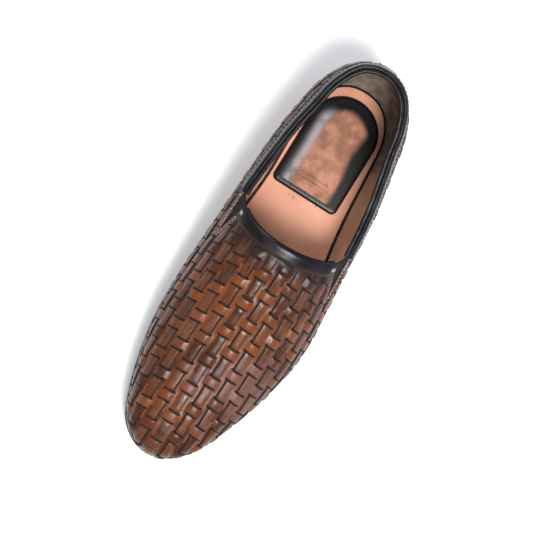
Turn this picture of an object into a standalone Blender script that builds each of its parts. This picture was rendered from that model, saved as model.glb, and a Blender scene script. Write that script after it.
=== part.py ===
# Woven leather loafer, a left shoe, standing empty on its sole.
# Metres, +X to the toe, +Y to the shoe's lateral side, +Z up. The origin lies on the floor under the heel.
import bmesh
import bpy
import numpy as np
from collections import namedtuple

# Driving sizes
SOLE_LENGTH = 0.288       # back of the sole to its tip
BALL_WIDTH = 0.0968       # upper across the ball
INSTEP_HEIGHT = 0.0840    # floor to the vamp's edge on the spine
COLLAR_BACK = 0.0795      # floor to the collar at the heel
COLLAR_SIDE = 0.0585      # floor to the collar at the gores
THROAT_SIDE = 0.0685      # floor to the vamp's edge at its corners
TOE_SPRING = 0.0150       # floor to the sole's underside at the tip
HEEL_STACK = 0.0140       # sole with heel, under the heel seat
FORE_STACK = 0.0080       # outsole and midsole together at the ball
MIDSOLE = 0.0030
HEEL_REST = 0.0200        # back of the sole to the middle of the heel's flat spot
HEEL_CENTRE = 0.0375      # back of the sole to the axis that the heel turns about
BACK_BULGE = 0.0080       # upper beyond the sole at the back
TIP_SETBACK = 0.0015      # sole beyond the upper at the toe
FEATHER_MARGIN = 0.0012   # sole beyond the upper's lower edge
WALL = 0.0023             # leather and lining of the upper
ARCH_RISE = 0.0018
GAP = 0.0003              # between pieces that meet
FOLD_ROOM = 0.0006        # between a folded binding and the curved wall in it

# Weave: strips threaded heel to toe through slit bridges
ROW_PITCH = 0.0103
REPEAT = 0.0220
BRIDGE_LENGTH = 0.0066
STRIP_HALF = 0.0033
STRIP_RISE = 0.0009
BRIDGE_RISE = 0.0010

# Edges and trims
THROAT_BULGE = 0.0105     # vamp's edge, middle ahead of its corners
THROAT_PLACE = 0.1310     # back of the sole to the vamp's edge on the spine
THROAT_LEG = 0.0080       # throat binding, outer leg
BAND_OUT = 0.0072         # collar binding, outer leg
BAND_IN = 0.0050
BAND_THICK = 0.0011
GORE_RAKE = 0.0090        # collar's end behind the vamp's corner
GORE_LENGTH = 0.0280      # collar's end to the gore's tip
GORE_LIFT = 0.0020        # gore's tip above the row of the collar's end
GORE_THICK = 0.0012
BACKSTAY_HALF = 0.0070
INSOLE_THICK = 0.0025
PAD_LENGTH = 0.0760
PAD_WIDTH = 0.0500
PAD_THICK = 0.0022
PAD_PLACE = 0.0120        # back of the sole to the back of the pad
PAD_CORNER = 0.0040

# Plan: half-widths as shares of the ball width, along the sole's length
Plan = namedtuple("Plan", "share lateral medial sole_lateral sole_medial")
PLAN = [
    Plan(0.130, 0.399, 0.368, 0.341, 0.331),
    Plan(0.200, 0.436, 0.396, 0.356, 0.336),
    Plan(0.290, 0.478, 0.411, 0.377, 0.330),
    Plan(0.400, 0.500, 0.423, 0.424, 0.350),
    Plan(0.500, 0.530, 0.434, 0.491, 0.398),
    Plan(0.600, 0.556, 0.442, 0.542, 0.440),
    Plan(0.660, 0.549, 0.438, 0.546, 0.447),
    Plan(0.730, 0.508, 0.421, 0.512, 0.434),
    Plan(0.790, 0.460, 0.392, 0.466, 0.405),
    Plan(0.840, 0.408, 0.357, 0.414, 0.372),
    Plan(0.900, 0.336, 0.302, 0.345, 0.317),
    Plan(0.950, 0.252, 0.236, 0.266, 0.252),
    Plan(0.985, 0.140, 0.133, 0.152, 0.146),
    Plan(1.000, 0.000, 0.000, 0.000, 0.000),
]

# Profile: ridge as a share of the instep's height, the widest level as a share from feather to ridge
Profile = namedtuple("Profile", "share ridge widest fullness")
PROFILE = [
    Profile(0.000, 1.369, 0.290, 1.60),
    Profile(0.130, 1.290, 0.300, 1.38),
    Profile(0.200, 1.214, 0.305, 1.52),
    Profile(0.300, 1.119, 0.310, 1.75),
    Profile(0.400, 1.047, 0.305, 2.00),
    Profile(0.465, 1.000, 0.300, 2.05),
    Profile(0.600, 0.842, 0.270, 2.10),
    Profile(0.700, 0.728, 0.290, 2.20),
    Profile(0.790, 0.652, 0.320, 2.25),
    Profile(0.860, 0.605, 0.360, 2.25),
    Profile(0.910, 0.564, 0.400, 2.25),
    Profile(0.950, 0.524, 0.440, 2.20),
    Profile(0.985, 0.458, 0.520, 2.20),
    Profile(1.000, 0.357, 1.000, 2.20),
]
HEEL_ROUND = 2.3          # exponent of the heel's plan
FAN = 61                  # slices round half the heel, for measuring
PLANES = 260              # slices from the heel's axis to the toe
LEVELS = 160              # points down each slice


def smooth(table, column, share):
    """A monotone cubic through the table's column; shares are stretched towards the round toe."""
    x = 1.0 - np.sqrt(1.0 - np.array([row.share for row in table]))
    y = np.array([getattr(row, column) for row in table])
    at = 1.0 - np.sqrt(np.clip(1.0 - np.asarray(share, float), 0.0, 1.0))
    step = np.diff(x)
    slope = np.diff(y) / step
    tangent = np.empty_like(y)
    tangent[0], tangent[-1] = slope[0], slope[-1]
    for i in range(1, len(y) - 1):
        left, right = slope[i - 1], slope[i]
        near, far = 2 * step[i] + step[i - 1], step[i] + 2 * step[i - 1]
        tangent[i] = 0.0 if left * right <= 0 else (near + far) / (near / left + far / right)
    i = np.clip(np.searchsorted(x, at) - 1, 0, len(step) - 1)
    f = (at - x[i]) / step[i]
    return (y[i] * (1 + 2 * f) * (1 - f) ** 2 + tangent[i] * step[i] * f * (1 - f) ** 2
            + y[i + 1] * f * f * (3 - 2 * f) - tangent[i + 1] * step[i] * f * f * (1 - f))


def blend(low, high, value):
    f = np.clip((np.asarray(value, float) - low) / (high - low), 0.0, 1.0)
    return f * f * (3 - 2 * f)


def underside(x):
    """Height of the sole's bottom: flat at heel and ball, an arch between, and the toe spring."""
    t = np.asarray(x, float) / SOLE_LENGTH
    arch = ARCH_RISE * blend(0.13, 0.26, t) * (1 - blend(0.28, 0.42, t))
    return arch + TOE_SPRING * np.clip((t - 0.60) / 0.40, 0.0, 1.0) ** 1.7


def seat(x):
    """Height of the sole's top, which carries the upper."""
    t = np.asarray(x, float) / SOLE_LENGTH
    stack = HEEL_STACK + (FORE_STACK - HEEL_STACK) * blend(0.12, 0.62, t)
    return TOE_SPRING * np.clip((t - 0.60) / 0.40, 0.0, 1.0) ** 1.7 + stack


def stations(fan, planes):
    """Angles round the heel, then places along the shoe, close together at the toe."""
    turn = np.linspace(np.pi, np.pi / 2, fan)
    run = 1.0 - (1.0 - np.linspace(0.0, 1.0, planes)[1:]) ** 2
    return np.concatenate([turn, np.full(planes - 1, np.pi / 2)]), np.concatenate([np.zeros(fan), run])


def outline(side, column, back, tip, turn, run):
    """Plan points on one side (+1 lateral, -1 medial): an oval heel, then the table's half-widths."""
    widths = ("lateral" if side > 0 else "medial")
    name = column + widths
    x = HEEL_CENTRE + back * np.cos(turn) + run * (tip - HEEL_CENTRE)
    y = BALL_WIDTH * smooth(PLAN, name, np.maximum(x, HEEL_CENTRE) / tip)
    reach = 0.002
    grow = (BALL_WIDTH * smooth(PLAN, name, (HEEL_CENTRE + reach) / tip)
            - BALL_WIDTH * smooth(PLAN, name, HEEL_CENTRE / tip)) / reach
    round_off = np.clip(1 - np.abs(np.cos(turn)) ** HEEL_ROUND, 0, 1) ** (1 / HEEL_ROUND)
    y = np.where(run > 0, y, (y + grow * back * np.cos(turn)) * round_off)
    return x, side * y


class Last:
    """One side of the upper's outer form, measured along the rows (a) and down the slices (b)."""

    def __init__(self, side):
        self.side = side
        turn, run = stations(FAN, PLANES)
        tip = SOLE_LENGTH - TIP_SETBACK
        wide = outline(side, "", HEEL_CENTRE + BACK_BULGE, tip, turn, run)
        foot = outline(side, "sole_", HEEL_CENTRE, SOLE_LENGTH, turn, run)
        centre = np.maximum(wide[0] * (run > 0), HEEL_CENTRE)
        share = np.clip(wide[0], 0, tip) / tip
        foot_in = np.hypot(foot[0] - centre, foot[1])
        pull = np.clip(1 - FEATHER_MARGIN / np.maximum(foot_in, 1e-6), 0, 1)
        foot_x = np.where(run > 0, wide[0], centre + (foot[0] - centre) * pull)
        foot_y = np.where(run > 0, side * np.minimum(np.abs(foot[1]) * pull, np.abs(wide[1]) * 1.02),
                          foot[1] * pull)
        low = seat(foot_x) + GAP
        high = INSTEP_HEIGHT * smooth(PROFILE, "ridge", share)
        level = low + (high - low) * smooth(PROFILE, "widest", share)
        full = smooth(PROFILE, "fullness", share)[:, None]
        self.x, self.low = wide[0], low
        above = np.linspace(0, np.pi / 2, LEVELS)[None, :]
        below = np.linspace(0, 1.35, LEVELS)[None, 1:]
        out = np.sin(above) ** (2 / full)
        rise = np.cos(above) ** (2 / full)
        c = np.stack([centre, np.zeros_like(centre)], 1)[:, None, :]
        w = np.stack(wide, 1)[:, None, :]
        f = np.stack([foot_x, foot_y], 1)[:, None, :]
        upper = c + (w - c) * out[..., None]
        upper_z = level[:, None] + (high - level)[:, None] * rise
        lower = w + (f - w) * (below ** 2)[..., None]
        lower_z = level[:, None] - (level - low)[:, None] * below
        self.xy = np.concatenate([upper, lower], 1)
        z = np.concatenate([upper_z, lower_z], 1)
        points = np.concatenate([self.xy, z[..., None]], 2)
        step = np.linalg.norm(np.diff(points, axis=1), axis=2)
        depth = np.concatenate([np.zeros((len(step), 1)), np.cumsum(step, 1)], 1)
        foot_index = LEVELS - 1 + (LEVELS - 1) / 1.35
        self.foot_depth = np.array([np.interp(foot_index, np.arange(d.size), d) for d in depth])
        self.b = np.arange(0, 0.150, 0.0005)
        self.grid = np.array([[np.interp(self.b, d, p[:, k]) for k in range(3)]
                              for d, p in zip(depth, points)]).transpose(0, 2, 1)
        along = np.linalg.norm(np.diff(self.grid, axis=0), axis=2)
        total = np.concatenate([np.zeros((1, self.b.size)), np.cumsum(along, 0)], 0)
        start = np.array([np.interp(THROAT_PLACE, self.x, total[:, k]) for k in range(self.b.size)])
        self.a = total - start[None, :]
        self.u = np.arange(len(self.x), dtype=float)

    def slice_at(self, a, b):
        k = np.clip(b / 0.0005, 0, self.b.size - 1.001)
        i = int(k)
        run = self.a[:, i] * (1 - (k - i)) + self.a[:, i + 1] * (k - i)
        return float(np.interp(a, run, self.u)), k

    def point_at(self, u, b):
        k = np.clip(b / 0.0005, 0, self.b.size - 1.001)
        i, j = int(np.clip(u, 0, self.u[-1] - 0.001)), int(k)
        fu, fk = min(max(u - i, 0.0), 1.0), k - j
        g = self.grid
        return ((g[i, j] * (1 - fk) + g[i, j + 1] * fk) * (1 - fu)
                + (g[i + 1, j] * (1 - fk) + g[i + 1, j + 1] * fk) * fu)

    def sheet(self, a, b, lift=0.0):
        """A point of the leather at row place a and depth b, lifted along the outward normal."""
        b = max(b, 0.0)
        u, _ = self.slice_at(a, b)
        p = self.point_at(u, b)
        if lift == 0.0:
            return p
        reach = 1.5
        low_u, high_u = max(u - reach, 0.0), min(u + reach, self.u[-1])
        down = self.point_at(u, b + 0.001) - self.point_at(u, max(b - 0.001, 0.0))
        if b < 0.002:
            down = np.array([0.0, self.side, 0.0]) * 0.001 if u > FAN else down
        fore = self.point_at(high_u, b) - self.point_at(low_u, b)
        if u < reach:
            fore = np.array([0.0, self.side * 0.001, 0.0])
        n = np.cross(fore, down) * self.side
        if u > self.u[-1] - 2.5 and abs(p[1]) < 0.004:
            n = np.array([1.0, 0.0, 0.0])
        return p + lift * n / max(np.linalg.norm(n), 1e-12)

    def foot(self, a):
        """Depth b at which the row place a reaches the feather."""
        b = np.interp(np.interp(a, self.a[:, 60], self.u), self.u, self.foot_depth)
        for _ in range(12):
            b = np.interp(self.slice_at(a, b)[0], self.u, self.foot_depth)
        return float(b)

    def ends(self, b):
        k = np.clip(b / 0.0005, 0, self.b.size - 1.001)
        i = int(k)
        run = self.a[:, i] * (1 - (k - i)) + self.a[:, i + 1] * (k - i)
        return float(run[0]), float(run[-1])

    def depth_of(self, a, height):
        """Depth b of a height above the floor, on the row place a."""
        b = 0.03
        for _ in range(14):
            u = self.slice_at(a, b)[0]
            column = np.array([self.point_at(u, v)[2] for v in np.arange(0.0, 0.08, 0.002)])
            b = float(np.interp(-height, -column, np.arange(0.0, 0.08, 0.002)))
        return b


LATERAL, MEDIAL = Last(1), Last(-1)
COLLAR_CURVE = 1.4        # how soon the collar drops from the heel
EDGE_START = 0.0015       # from a bound edge to the first of the relief
EDGE_FADE = 0.0045        # from a bound edge to the full relief
FOOT_FADE = 0.0040
HALF_BRIDGE = BRIDGE_LENGTH / 2


class Cut:
    """The edges that one side of the upper is cut to, in row places and depths."""

    def __init__(self, last):
        self.last = last
        self.vamp_a = -THROAT_BULGE
        self.vamp_b = last.depth_of(self.vamp_a, THROAT_SIDE)
        self.collar_a = self.vamp_a - GORE_RAKE
        self.collar_b = last.depth_of(self.collar_a, COLLAR_SIDE)
        self.tip_a = self.collar_a + GORE_LENGTH
        self.tip_b = self.collar_b - GORE_LIFT
        back = last.ends(self.collar_b)[0]
        self.places = np.linspace(back, self.collar_a, 40)
        corner_x = last.sheet(self.collar_a, self.collar_b)[0]
        depths = []
        for a in self.places:
            b = self.collar_b
            for _ in range(4):
                x = last.sheet(a, b)[0]
                far = np.clip((corner_x - x) / (corner_x + BACK_BULGE), 0, 1)
                height = COLLAR_SIDE + (COLLAR_BACK - COLLAR_SIDE) * far ** COLLAR_CURVE
                b = last.depth_of(a, height)
            depths.append(b)
        self.depths = np.array(depths)

    def collar(self, a):
        return float(np.interp(a, self.places, self.depths))

    def top(self, a):
        """Upper edge of the side: the collar, then the gore's lower edge."""
        if a <= self.collar_a:
            return self.collar(a)
        f = min((a - self.collar_a) / (self.tip_a - self.collar_a), 1.0)
        return self.collar_b + f * (self.tip_b - self.collar_b)

    def throat(self, b):
        """Rear edge of the vamp: the bowed throat, then the gore's upper edge."""
        if b <= self.vamp_b:
            return -THROAT_BULGE * (b / self.vamp_b) ** 2
        f = (b - self.vamp_b) / (self.tip_b - self.vamp_b)
        return self.vamp_a + f * (self.tip_a - self.vamp_a)

    def relief(self, a, b):
        """How far strips and bridges stand out of the wall, fading at the bound edges."""
        row = round(b / ROW_PITCH)
        off = abs(b - row * ROW_PITCH)
        turn = a / REPEAT + 0.5 * (row % 2)
        along = abs(turn - round(turn)) * REPEAT
        rise = STRIP_RISE * max(1 - off / STRIP_HALF, 0.0)
        if along <= HALF_BRIDGE + 1e-5 and off <= STRIP_HALF + 1e-5:
            rise = max(rise, BRIDGE_RISE - 0.0002 * off / STRIP_HALF)
        edge = 1.0
        if a < self.tip_a:
            edge = blend(BAND_OUT + EDGE_START, BAND_OUT + EDGE_FADE, b - self.top(a) if b >= self.tip_b else 1.0)
        if b < self.tip_b:
            edge = edge * blend(THROAT_LEG + EDGE_START, THROAT_LEG + EDGE_FADE, a - self.throat(b))
        foot = blend(0.0, FOOT_FADE, self.last.foot(a) - b)
        back = blend(BACKSTAY_HALF + EDGE_START, BACKSTAY_HALF + EDGE_FADE, a - self.last.ends(b)[0])
        return float(rise * edge * foot * back)


CUTS = {1: Cut(LATERAL), -1: Cut(MEDIAL)}


LINE_ROOM = 0.0012        # least distance between two of the mesh's lines across the rows
DEPTH_ROOM = 0.0008       # and between two down the slices
TOE_STEP = 0.00035        # how the lines close up towards the toe's end
TOE_LINES = 6
WELD = 2e-6               # points closer than this are one
LINE_SPARE = 0.020        # how far the outermost lines lie beyond the leather


def row_places():
    """The weave's lines across the rows, with the cuts' own corners and closer lines at the toe.

    Both sides take the same lines, so that they meet point to point at spine, toe and heel."""
    back = min(cut.last.ends(cut.last.foot_depth[0])[0] for cut in CUTS.values())
    tip = min(cut.last.ends(0.0)[1] for cut in CUTS.values())
    lines = []
    for k in range(int(back / (REPEAT / 2)) - 2, int(tip / (REPEAT / 2)) + 3):
        lines += [k * REPEAT / 2 - HALF_BRIDGE, k * REPEAT / 2 + HALF_BRIDGE]
    own = sorted({a for cut in CUTS.values() for a in (cut.collar_a, cut.tip_a)})
    own += [tip - TOE_STEP * k * k for k in range(1, TOE_LINES)]
    lines = [a for a in lines if back + LINE_ROOM < a < tip - LINE_ROOM and min(abs(a - o) for o in own) > LINE_ROOM]
    return sorted(lines + own + [back - LINE_SPARE, tip + LINE_SPARE])


def depth_lines(fine):
    """The weave's lines down the slices: strip middles and bridge ends, or plain lines for the lining."""
    deepest = max(cut.last.foot(a) for cut in CUTS.values()
                  for a in np.linspace(-SOLE_LENGTH * 0.42, SOLE_LENGTH * 0.35, 23))
    lines = []
    for row in range(0, int(deepest / ROW_PITCH) + 2):
        middle = row * ROW_PITCH
        if fine:
            lines += [middle - STRIP_HALF, middle, middle + STRIP_HALF]
        else:
            lines.append(middle)
            if middle < max(cut.tip_b for cut in CUTS.values()):
                lines.append(middle + ROW_PITCH / 2)
    own = sorted({b for cut in CUTS.values() for b in (cut.vamp_b, cut.tip_b)})
    lines = [b for b in lines if 0 <= b < deepest and min(abs(b - o) for o in own) > DEPTH_ROOM]
    return sorted(set(lines + own + [0.0, deepest + LINE_SPARE / 2]))


def shell(lift, fine):
    """Vertices and triangles of the upper's outer or inner face, both sides welded at spine, toe and heel."""
    points, faces, index = [], [], {}

    def vertex(p):
        key = tuple(np.round(p / WELD).astype(int))
        for dx in (0, 1, -1):
            for dy in (0, 1, -1):
                for dz in (0, 1, -1):
                    near = index.get((key[0] + dx, key[1] + dy, key[2] + dz))
                    if near is not None:
                        return near
        index[key] = len(points)
        points.append(p)
        return index[key]

    def patch(cut, a_lines, b_lines, place):
        rows = []
        for a in a_lines:
            row = []
            for b in b_lines:
                at, depth = place(a, b)
                first, final = cut.last.ends(depth)
                at = min(max(at, first), final)
                rise = cut.relief(at, depth) if fine else 0.0
                row.append(vertex(cut.last.sheet(at, depth, lift + rise)))
            rows.append(row)
        for r0, r1 in zip(rows, rows[1:]):
            for j in range(len(b_lines) - 1):
                corners = [r0[j], r1[j], r1[j + 1], r0[j + 1]]
                for tri in ((0, 1, 2), (0, 2, 3)):
                    face = [corners[k] for k in tri]
                    if len(set(face)) == 3:
                        faces.append(face if cut.last.side > 0 else face[::-1])

    for cut in CUTS.values():
        a_lines, b_lines = row_places(), depth_lines(fine)
        side = [b for b in b_lines if b >= cut.tip_b]
        vamp = [b for b in b_lines if b <= cut.tip_b]
        patch(cut, a_lines, side,
              lambda a, b: (a, min(max(b, cut.top(a)), cut.last.foot(a))))
        patch(cut, [a for a in a_lines if a > cut.vamp_a - THROAT_BULGE or a == a_lines[0]], vamp,
              lambda a, b: (max(a, cut.throat(b)), min(b, cut.last.foot(max(a, cut.throat(b))))))
    return points, faces


def rims(faces):
    """Boundary loops of a triangle list, each an ordered list of vertices."""
    edges = {}
    for f in faces:
        for k in range(3):
            edges[(f[k], f[(k + 1) % 3])] = True
    after = {a: b for a, b in edges if (b, a) not in edges}
    found = []
    while after:
        start, at = next(iter(after.items()))
        loop = [start]
        del after[start]
        while at != start:
            loop.append(at)
            at = after.pop(at)
        found.append(loop)
    return found


def zip_loops(points, one, two):
    """Triangles between two loops that run the same way, always along the shorter diagonal."""
    p = np.array(points)
    start = int(np.argmin(np.linalg.norm(p[two] - p[one[0]], axis=1)))
    two = two[start:] + two[:start]
    i, j, faces = 0, 0, []
    while i < len(one) or j < len(two):
        a, b = one[i % len(one)], two[j % len(two)]
        a2, b2 = one[(i + 1) % len(one)], two[(j + 1) % len(two)]
        step_one = np.linalg.norm(p[a2] - p[b]) if i < len(one) else np.inf
        step_two = np.linalg.norm(p[a] - p[b2]) if j < len(two) else np.inf
        if step_one <= step_two:
            faces.append([a, b, a2])
            i += 1
        else:
            faces.append([a, b, b2])
            j += 1
    return faces


def material(name, colour, roughness):
    mat = bpy.data.materials.new(name)
    mat.use_nodes = True
    shader = mat.node_tree.nodes["Principled BSDF"]
    shader.inputs["Base Color"].default_value = (*colour, 1.0)
    shader.inputs["Roughness"].default_value = roughness
    shader.inputs["Metallic"].default_value = 0.0
    return mat


def piece(name, points, faces, mat, crease=0.6):
    """A closed solid from points measured from the sole's back, moved to the origin under the heel."""
    mesh = bpy.data.meshes.new(name)
    mesh.from_pydata([(x - HEEL_REST, y, z) for x, y, z in points], [], [list(map(int, f)) for f in faces])
    mesh.materials.append(mat)
    obj = bpy.data.objects.new(name, mesh)
    bpy.context.scene.collection.objects.link(obj)
    bm = bmesh.new()
    bm.from_mesh(mesh)
    bmesh.ops.remove_doubles(bm, verts=bm.verts, dist=1e-7)
    bmesh.ops.recalc_face_normals(bm, faces=bm.faces)
    bm.to_mesh(mesh)
    bm.free()
    mesh.shade_smooth()
    mesh.set_sharp_from_angle(angle=crease)
    return obj


def tube_of(sections, closed=False):
    """Points and faces of a strip with the same cross-section at every station, its ends capped."""
    n = len(sections[0])
    points = [p for s in sections for p in s]
    faces = []
    count = len(sections)
    for i in range(count if closed else count - 1):
        k = (i + 1) % count
        for j in range(n):
            m = (j + 1) % n
            faces.append([i * n + j, i * n + m, k * n + m, k * n + j])
    if not closed:
        faces.append(list(range(n)))
        faces.append([(count - 1) * n + j for j in range(n)][::-1])
    return points, faces


def upper():
    outer, outer_faces = shell(0.0, True)
    inner, inner_faces = shell(-WALL, False)
    shift = len(outer)
    points = outer + inner
    faces = outer_faces + [[k + shift for k in f[::-1]] for f in inner_faces]

    def height(loop):
        return np.mean([points[k][2] for k in loop])

    out_loops = sorted(rims(outer_faces), key=height)
    in_loops = sorted(([k + shift for k in loop] for loop in rims(inner_faces)), key=height)
    for one, two in zip(out_loops, in_loops):
        faces += zip_loops(points, one, two)
    return piece("upper", points, faces, material("woven_leather", (0.165, 0.070, 0.032), 0.42), crease=0.15)


def fold(edge, leg_out, leg_in):
    """Cross-section of a folded binding: places along the leather from its edge, with lifts."""
    t, outside, inside = BAND_THICK, FOLD_ROOM, -WALL - FOLD_ROOM
    top = edge - GAP - t
    return [(edge + leg_out, outside), (edge + leg_out, outside + t), (edge - 0.2 * t, outside + t),
            (top, outside + 0.5 * t), (top, inside - 0.4 * t), (edge - 0.2 * t, inside - t),
            (edge + leg_in, inside - t), (edge + leg_in, inside), (edge - GAP, inside), (edge - GAP, outside)]


BAND_STATIONS = 26
THROAT_STATIONS = 13


def collar_binding():
    sections = []
    for side in (1, -1):
        cut = CUTS[side]
        half = []
        run = cut.collar_a - GAP - cut.places[0]
        for f in np.linspace(0.0, 1.0, BAND_STATIONS):
            edge = cut.collar(cut.places[0] + f * run)
            behind = cut.last.ends(edge)[0]
            half.append([cut.last.sheet(cut.last.ends(b)[0] + f * run + f * (cut.places[0] - behind), b, lift)
                         for b, lift in fold(edge, BAND_OUT, BAND_IN)])
        sections = half[::-1] if side > 0 else sections + half[1:]
    points, faces = tube_of(sections)
    return piece("collar_binding", points, faces, material("bound_edge", (0.018, 0.015, 0.016), 0.35))


def throat_binding():
    sections = []
    for side in (1, -1):
        cut = CUTS[side]
        half = []
        for f in np.linspace(0.0, 1.0, THROAT_STATIONS):
            b = f * (cut.vamp_b - GAP)
            half.append([cut.last.sheet(a, b, lift) for a, lift in fold(cut.throat(b), THROAT_LEG, BAND_IN)])
        sections = half[::-1] if side > 0 else sections + half[1:]
    points, faces = tube_of(sections)
    return piece("throat_binding", points, faces, material("bound_throat", (0.018, 0.015, 0.016), 0.3))


def gore(side, name):
    """The elastic triangle between the collar's end and the vamp's corner."""
    cut = CUTS[side]
    middle = -WALL / 2
    sections = []
    for f in np.linspace(0.02, 0.94, 7):
        low_a = cut.collar_a + f * (cut.tip_a - cut.collar_a)
        high_a = cut.vamp_a + f * (cut.tip_a - cut.vamp_a)
        low_b = cut.collar_b + f * (cut.tip_b - cut.collar_b) - 1.5 * GAP
        high_b = cut.vamp_b + f * (cut.tip_b - cut.vamp_b) + 1.5 * GAP
        mid_a, mid_b = (low_a + high_a) / 2, (low_b + high_b) / 2
        across = [(low_a, low_b), (mid_a, mid_b), (high_a, high_b)]
        sections.append([cut.last.sheet(a, b, middle + GORE_THICK / 2) for a, b in across]
                        + [cut.last.sheet(a, b, middle - GORE_THICK / 2) for a, b in across[::-1]])
    points, faces = tube_of(sections)
    return piece(name, points, faces, material(name + "_elastic", (0.055, 0.052, 0.055), 0.85))


def backstay():
    """The strip over the back seam, from the collar binding down to the sole."""
    cut = CUTS[1]
    start = cut.collar(cut.places[0]) + BAND_OUT + GAP
    end = LATERAL.foot_depth[0] - 5 * GAP
    sections = []
    for b in np.linspace(start, end, 9):
        row = []
        for lift in (FOLD_ROOM + BAND_THICK, FOLD_ROOM):
            places = [(1, BACKSTAY_HALF), (1, BACKSTAY_HALF / 2), (1, 0.0), (-1, BACKSTAY_HALF / 2), (-1, BACKSTAY_HALF)]
            line = [CUTS[side].last.sheet(CUTS[side].last.ends(b)[0] + far, b, lift) for side, far in places]
            row += line if lift > FOLD_ROOM else line[::-1]
        sections.append(row)
    points, faces = tube_of(sections)
    return piece("backstay", points, faces, material("back_strip", (0.020, 0.016, 0.016), 0.38))


SOLE_FAN, SOLE_PLANES = 12, 34
MIDSOLE_START = 0.33      # share of the sole's length where the midsole begins
MIDSOLE_EDGE = 0.0009     # its thickness there


def sole_line(inset, low=0.0, high=1.0):
    """Plan stations of the sole's outline, moved inwards: (x, lateral y, medial y) for each station."""
    turn, run = stations(SOLE_FAN, SOLE_PLANES)
    lines = []
    for side in (1, -1):
        x, y = outline(side, "sole_", HEEL_CENTRE, SOLE_LENGTH, turn, run)
        along = np.gradient(np.stack([x, y], 1), axis=0)
        along[0], along[-1] = (0.0, side), (0.0, -side)
        along /= np.linalg.norm(along, axis=1)[:, None]
        lines.append((x + side * along[:, 1] * inset, y - side * along[:, 0] * inset))
    (x1, y1), (x2, y2) = lines
    keep = [i for i in range(len(x1)) if low <= x1[i] / SOLE_LENGTH <= high]
    return [((x1[i], y1[i]), (x2[i], y2[i])) for i in keep]


def plate(layers):
    """A closed solid from layers bottom to top; each is (stations, height function)."""
    points, faces = [], []
    rings = []
    for line, height in layers:
        ring = []
        for (x, y), _ in line:
            ring.append((x, y, float(height(x))))
        for _, (x, y) in line[::-1]:
            ring.append((x, y, float(height(x))))
        rings.append([len(points) + k for k in range(len(ring))])
        points += ring
    n = len(rings[0])
    half = n // 2
    for low, high in zip(rings, rings[1:]):
        for j in range(n):
            m = (j + 1) % n
            faces.append([low[j], low[m], high[m], high[j]])
    for ring, flip in ((rings[0], 1), (rings[-1], -1)):
        for i in range(half - 1):
            faces.append([ring[i], ring[n - 1 - i], ring[n - 2 - i], ring[i + 1]][::flip])
    return points, faces


def midsole_depth(x):
    return MIDSOLE_EDGE + (MIDSOLE - MIDSOLE_EDGE) * blend(MIDSOLE_START, 0.48, x / SOLE_LENGTH)


def outsole():
    split = MIDSOLE_START * SOLE_LENGTH
    top = lambda x: seat(x) - np.where(x > split, midsole_depth(x) + GAP, 0.0)
    side = lambda share: lambda x: underside(x) + (top(x) - underside(x)) * share
    layers = [
        (sole_line(0.0026), underside),
        (sole_line(0.0008), lambda x: underside(x) + 0.0010),
        (sole_line(0.0008), lambda x: underside(x) + 0.0024),
        (sole_line(0.0001), lambda x: underside(x) + 0.0028),
        (sole_line(0.0003), side(0.78)),
        (sole_line(0.0003), top),
    ]
    points, faces = plate(layers)
    return piece("outsole", points, faces, material("sole_rubber", (0.012, 0.012, 0.014), 0.55))


def midsole():
    line = lambda inset: sole_line(inset, MIDSOLE_START + 0.003)
    layers = [
        (line(0.0004), lambda x: seat(x) - midsole_depth(x)),
        (line(0.0), lambda x: seat(x) - 0.5 * midsole_depth(x)),
        (line(0.0004), seat),
    ]
    points, faces = plate(layers)
    return piece("midsole", points, faces, material("midsole_edge", (0.016, 0.014, 0.015), 0.45))


INSOLE_INSET = FEATHER_MARGIN + WALL + 0.0014


def insole():
    layers = [
        (sole_line(INSOLE_INSET), lambda x: seat(x) + GAP),
        (sole_line(INSOLE_INSET), lambda x: seat(x) + GAP + INSOLE_THICK * 0.8),
        (sole_line(INSOLE_INSET + 0.0006), lambda x: seat(x) + GAP + INSOLE_THICK),
    ]
    points, faces = plate(layers)
    return piece("insole", points, faces, material("insole_leather", (0.62, 0.36, 0.25), 0.6))


def heel_pad():
    """A padded patch with a round back and a straight front with small corners."""
    half = PAD_WIDTH / 2

    def line(inset):
        rows = []
        for turn in np.linspace(0.0, np.pi / 2, 9):
            rows.append((half - half * np.cos(turn) * (1 - inset / half), (half - inset) * np.sin(turn)))
        for f in np.linspace(0.25, 1.0, 4):
            rows.append((half + f * (PAD_LENGTH - half - PAD_CORNER), half - inset))
        for turn in np.linspace(0.4, np.pi / 2, 4):
            rows.append((PAD_LENGTH - PAD_CORNER + (PAD_CORNER - inset) * np.sin(turn),
                         half - PAD_CORNER + (PAD_CORNER - inset) * np.cos(turn)))
        return [((PAD_PLACE + x, y), (PAD_PLACE + x, -y)) for x, y in rows]

    base = lambda x: seat(x) + 2 * GAP + INSOLE_THICK
    layers = [
        (line(0.0), base),
        (line(0.0), lambda x: base(x) + 0.5 * PAD_THICK),
        (line(0.0008), lambda x: base(x) + 0.85 * PAD_THICK),
        (line(0.0030), lambda x: base(x) + PAD_THICK),
    ]
    points, faces = plate(layers)
    return piece("heel_pad", points, faces, material("pad_leather", (0.22, 0.11, 0.06), 0.5))


for old in list(bpy.data.objects):
    bpy.data.objects.remove(old, do_unlink=True)

outsole()
midsole()
insole()
heel_pad()
upper()
collar_binding()
throat_binding()
gore(1, "gore_lateral")
gore(-1, "gore_medial")
backstay()
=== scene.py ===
import bmesh
import bpy
import numpy as np
from mathutils import Matrix, Vector


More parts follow.
